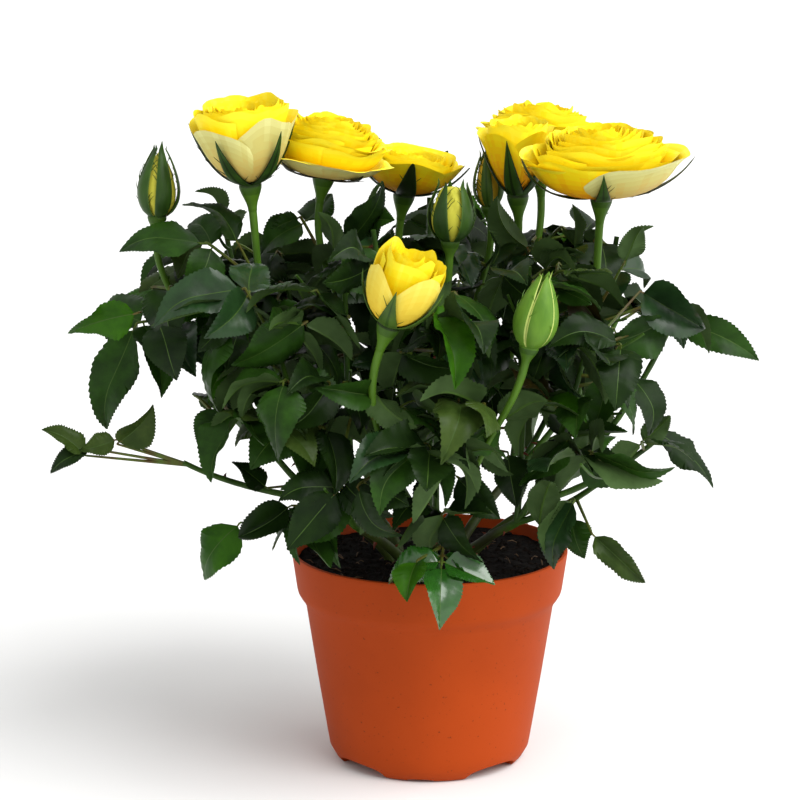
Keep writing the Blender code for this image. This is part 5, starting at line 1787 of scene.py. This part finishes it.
# Waves of the peat's surface: height in millimetres, pace across a millimetre, and seed.
HEAPS = ((1.1, 0.06, 3), (0.8, 0.22, 7))
LUMPS = (0.7, 0.6, 11)
SUNK = 0.4
SOIL_RINGS = 44
SOIL_ROUND = 120
SOIL_OUTSIDE = [  # radius of the pot's outside there, height
    (44.2, FLOOR_HEIGHT + SOIL_GAP), (54.2, COLLAR_HEIGHT + 0.6), (57.3, 76.3),
]
SOIL_RADIUS = 59.1 - WALL - SOIL_GAP  # at its top
SOIL_EDGE = (0.2, 2)  # by which its top edge is cut back, inward and down
CRUMBS, FIBRES = 900, 60
CRUMB_SIZE = 1.7
CRUMB_SHARP_ANGLE = math.radians(30)
PEAT_SHARP_ANGLE = math.radians(80)
FIBRE_LENGTHS = (2, 6)
FIBRE_RADII = (0.25, 0.3, 0.1)


def heaped(x, y, *waves):
    """Height of the peat's waves at a place."""
    return sum(high * noise.noise(Vector((x * pace, y * pace, seed))) for high, pace, seed in waves)


def place_on_soil(draw, border):
    """A place in plan on the peat, even all over it, away from its border."""
    at = (SOIL_RADIUS - border) * math.sqrt(draw.random())
    turn = draw.uniform(0, 2 * math.pi)
    return at * math.cos(turn), at * math.sin(turn)


def soil():
    """The peat's rough surface, closed below, and loose crumbs and fibres on it."""
    shape = Shape()
    side = [(radius - WALL - SOIL_GAP, height) for radius, height in SOIL_OUTSIDE]
    side.append((SOIL_RADIUS - SOIL_EDGE[0], SOIL_TOP - SOIL_EDGE[1]))
    surface = [(SOIL_RADIUS * (1 - k / SOIL_RINGS), SOIL_TOP) for k in range(SOIL_RINGS)]
    profile = [(0, side[0][1]), *side, *surface, (0, SOIL_TOP)]

    def roughened(points):
        for ring in points[1 + len(side):]:
            for p in ring:
                p[2] += heaped(p[0], p[1], *HEAPS)
                p[2] += heaped(p[0], p[1], LUMPS) - SUNK
        return points

    turned(shape, profile, SOIL_ROUND, "peat", None, roughened)
    shape.piece("peat_surface", "soil", "soil", sharp=PEAT_SHARP_ANGLE)
    draw = random.Random("crumbs")
    crumbs = Shape()
    # A lump of ten faces: its top, five corners round its waist, and its bottom.
    base = np.array([(0, 0, 1), (0.9, 0, 0.2), (0.28, 0.86, 0.2), (-0.73, 0.53, 0.2),
                     (-0.73, -0.53, 0.2), (0.28, -0.86, 0.2), (0, 0, -0.8)])
    faces = [(0, k, k % 5 + 1) for k in range(1, 6)] + [(6, k % 5 + 1, k) for k in range(1, 6)]
    for _ in range(CRUMBS):
        x, y = place_on_soil(draw, 1.5)
        size = draw.uniform(0.5, 1.0) ** 2 * CRUMB_SIZE
        z = SOIL_TOP + heaped(x, y, *HEAPS) - 0.3
        spin = draw.uniform(0, 6)
        stretch = np.array([draw.uniform(0.6, 1.4), draw.uniform(0.6, 1.2), draw.uniform(0.5, 0.9)])
        points = base * stretch * size * np.array([[draw.uniform(0.8, 1.2)] for _ in base])
        c, s = math.cos(spin), math.sin(spin)
        points = points @ np.array([(c, s, 0), (-s, c, 0), (0, 0, 1)])
        crumbs.add(points + (x, y, z), faces, "peat_crumb")
    for _ in range(FIBRES):
        foot = Vector((*place_on_soil(draw, 6), SOIL_TOP + 0.5))
        way = Vector((draw.uniform(-1, 1), draw.uniform(-1, 1), 0.1)).normalized()
        reach = draw.uniform(*FIBRE_LENGTHS)
        line = [foot, foot + way * reach * 0.5 + UP * 0.6, foot + way * reach]
        tube(crumbs, line, FIBRE_RADII, 4, "peat_fibre")
    crumbs.piece("peat_crumbs", "soil", "soil", sharp=CRUMB_SHARP_ANGLE)


# ---------------------------------------------------------------- stage
def sun(name, place, strength, spread):
    """A light from far away, in the direction of a place."""
    data = bpy.data.lights.new(name, "SUN")
    data.energy = strength
    data.angle = math.radians(spread)
    made = bpy.data.objects.new(name, data)
    bpy.context.scene.collection.objects.link(made)
    made.location = place
    made.rotation_euler = Vector(place).to_track_quat("Z", "Y").to_euler()


CAMERA_AIM = Vector((-12.9, 0, 158.5)) * MM
CAMERA_DISTANCE = 1.2
CAMERA_RISE = math.radians(12.2)
CAMERA_LENS = 125.55
SENSOR_WIDTH = 36
DAYLIGHT = 0.8  # of the white surroundings
# Direction that each light comes from, its strength, and how wide it looks in degrees.
SUNS = {"key": ((0.8, -0.8, 1.3), 2.4, 45), "side": ((1, -0.2, 0.6), 1.5, 70)}
FLOOR_HALF = 40000
FLOOR_DEPTH = 0.2  # under the pot, so that no face of theirs coincides


def studio():
    scene = bpy.context.scene
    scene.view_settings.view_transform = "Standard"
    world = bpy.data.worlds.new("studio")
    scene.world = world
    world.use_nodes = True
    background = world.node_tree.nodes["Background"]
    background.inputs["Color"].default_value = WHITE
    background.inputs["Strength"].default_value = DAYLIGHT
    corners = [(x * FLOOR_HALF, y * FLOOR_HALF, -FLOOR_DEPTH)
               for x, y in ((-1, -1), (1, -1), (1, 1), (-1, 1))]
    floor = plain_object("floor", corners, [(0, 1, 2, 3)])
    floor.data.materials.append(
        finish("studio_floor", linear(230, 230, 229), linear(227, 227, 226), 0.9, scale=3)
    )
    for name, light in SUNS.items():
        sun(name, *light)
    data = bpy.data.cameras.new("camera")
    data.lens = CAMERA_LENS
    data.sensor_width = SENSOR_WIDTH
    camera = bpy.data.objects.new("camera", data)
    scene.collection.objects.link(camera)
    back = Vector((0, -math.cos(CAMERA_RISE), math.sin(CAMERA_RISE)))
    camera.location = CAMERA_AIM + back * CAMERA_DISTANCE
    camera.rotation_euler = back.to_track_quat("Z", "Y").to_euler()
    scene.camera = camera


pot()
soil()
stems()
masses()
for name in BLOOMS:
    petals_of(name)
    calyx_of(name)
for name in BUDS:
    bud_of(name)
studio()
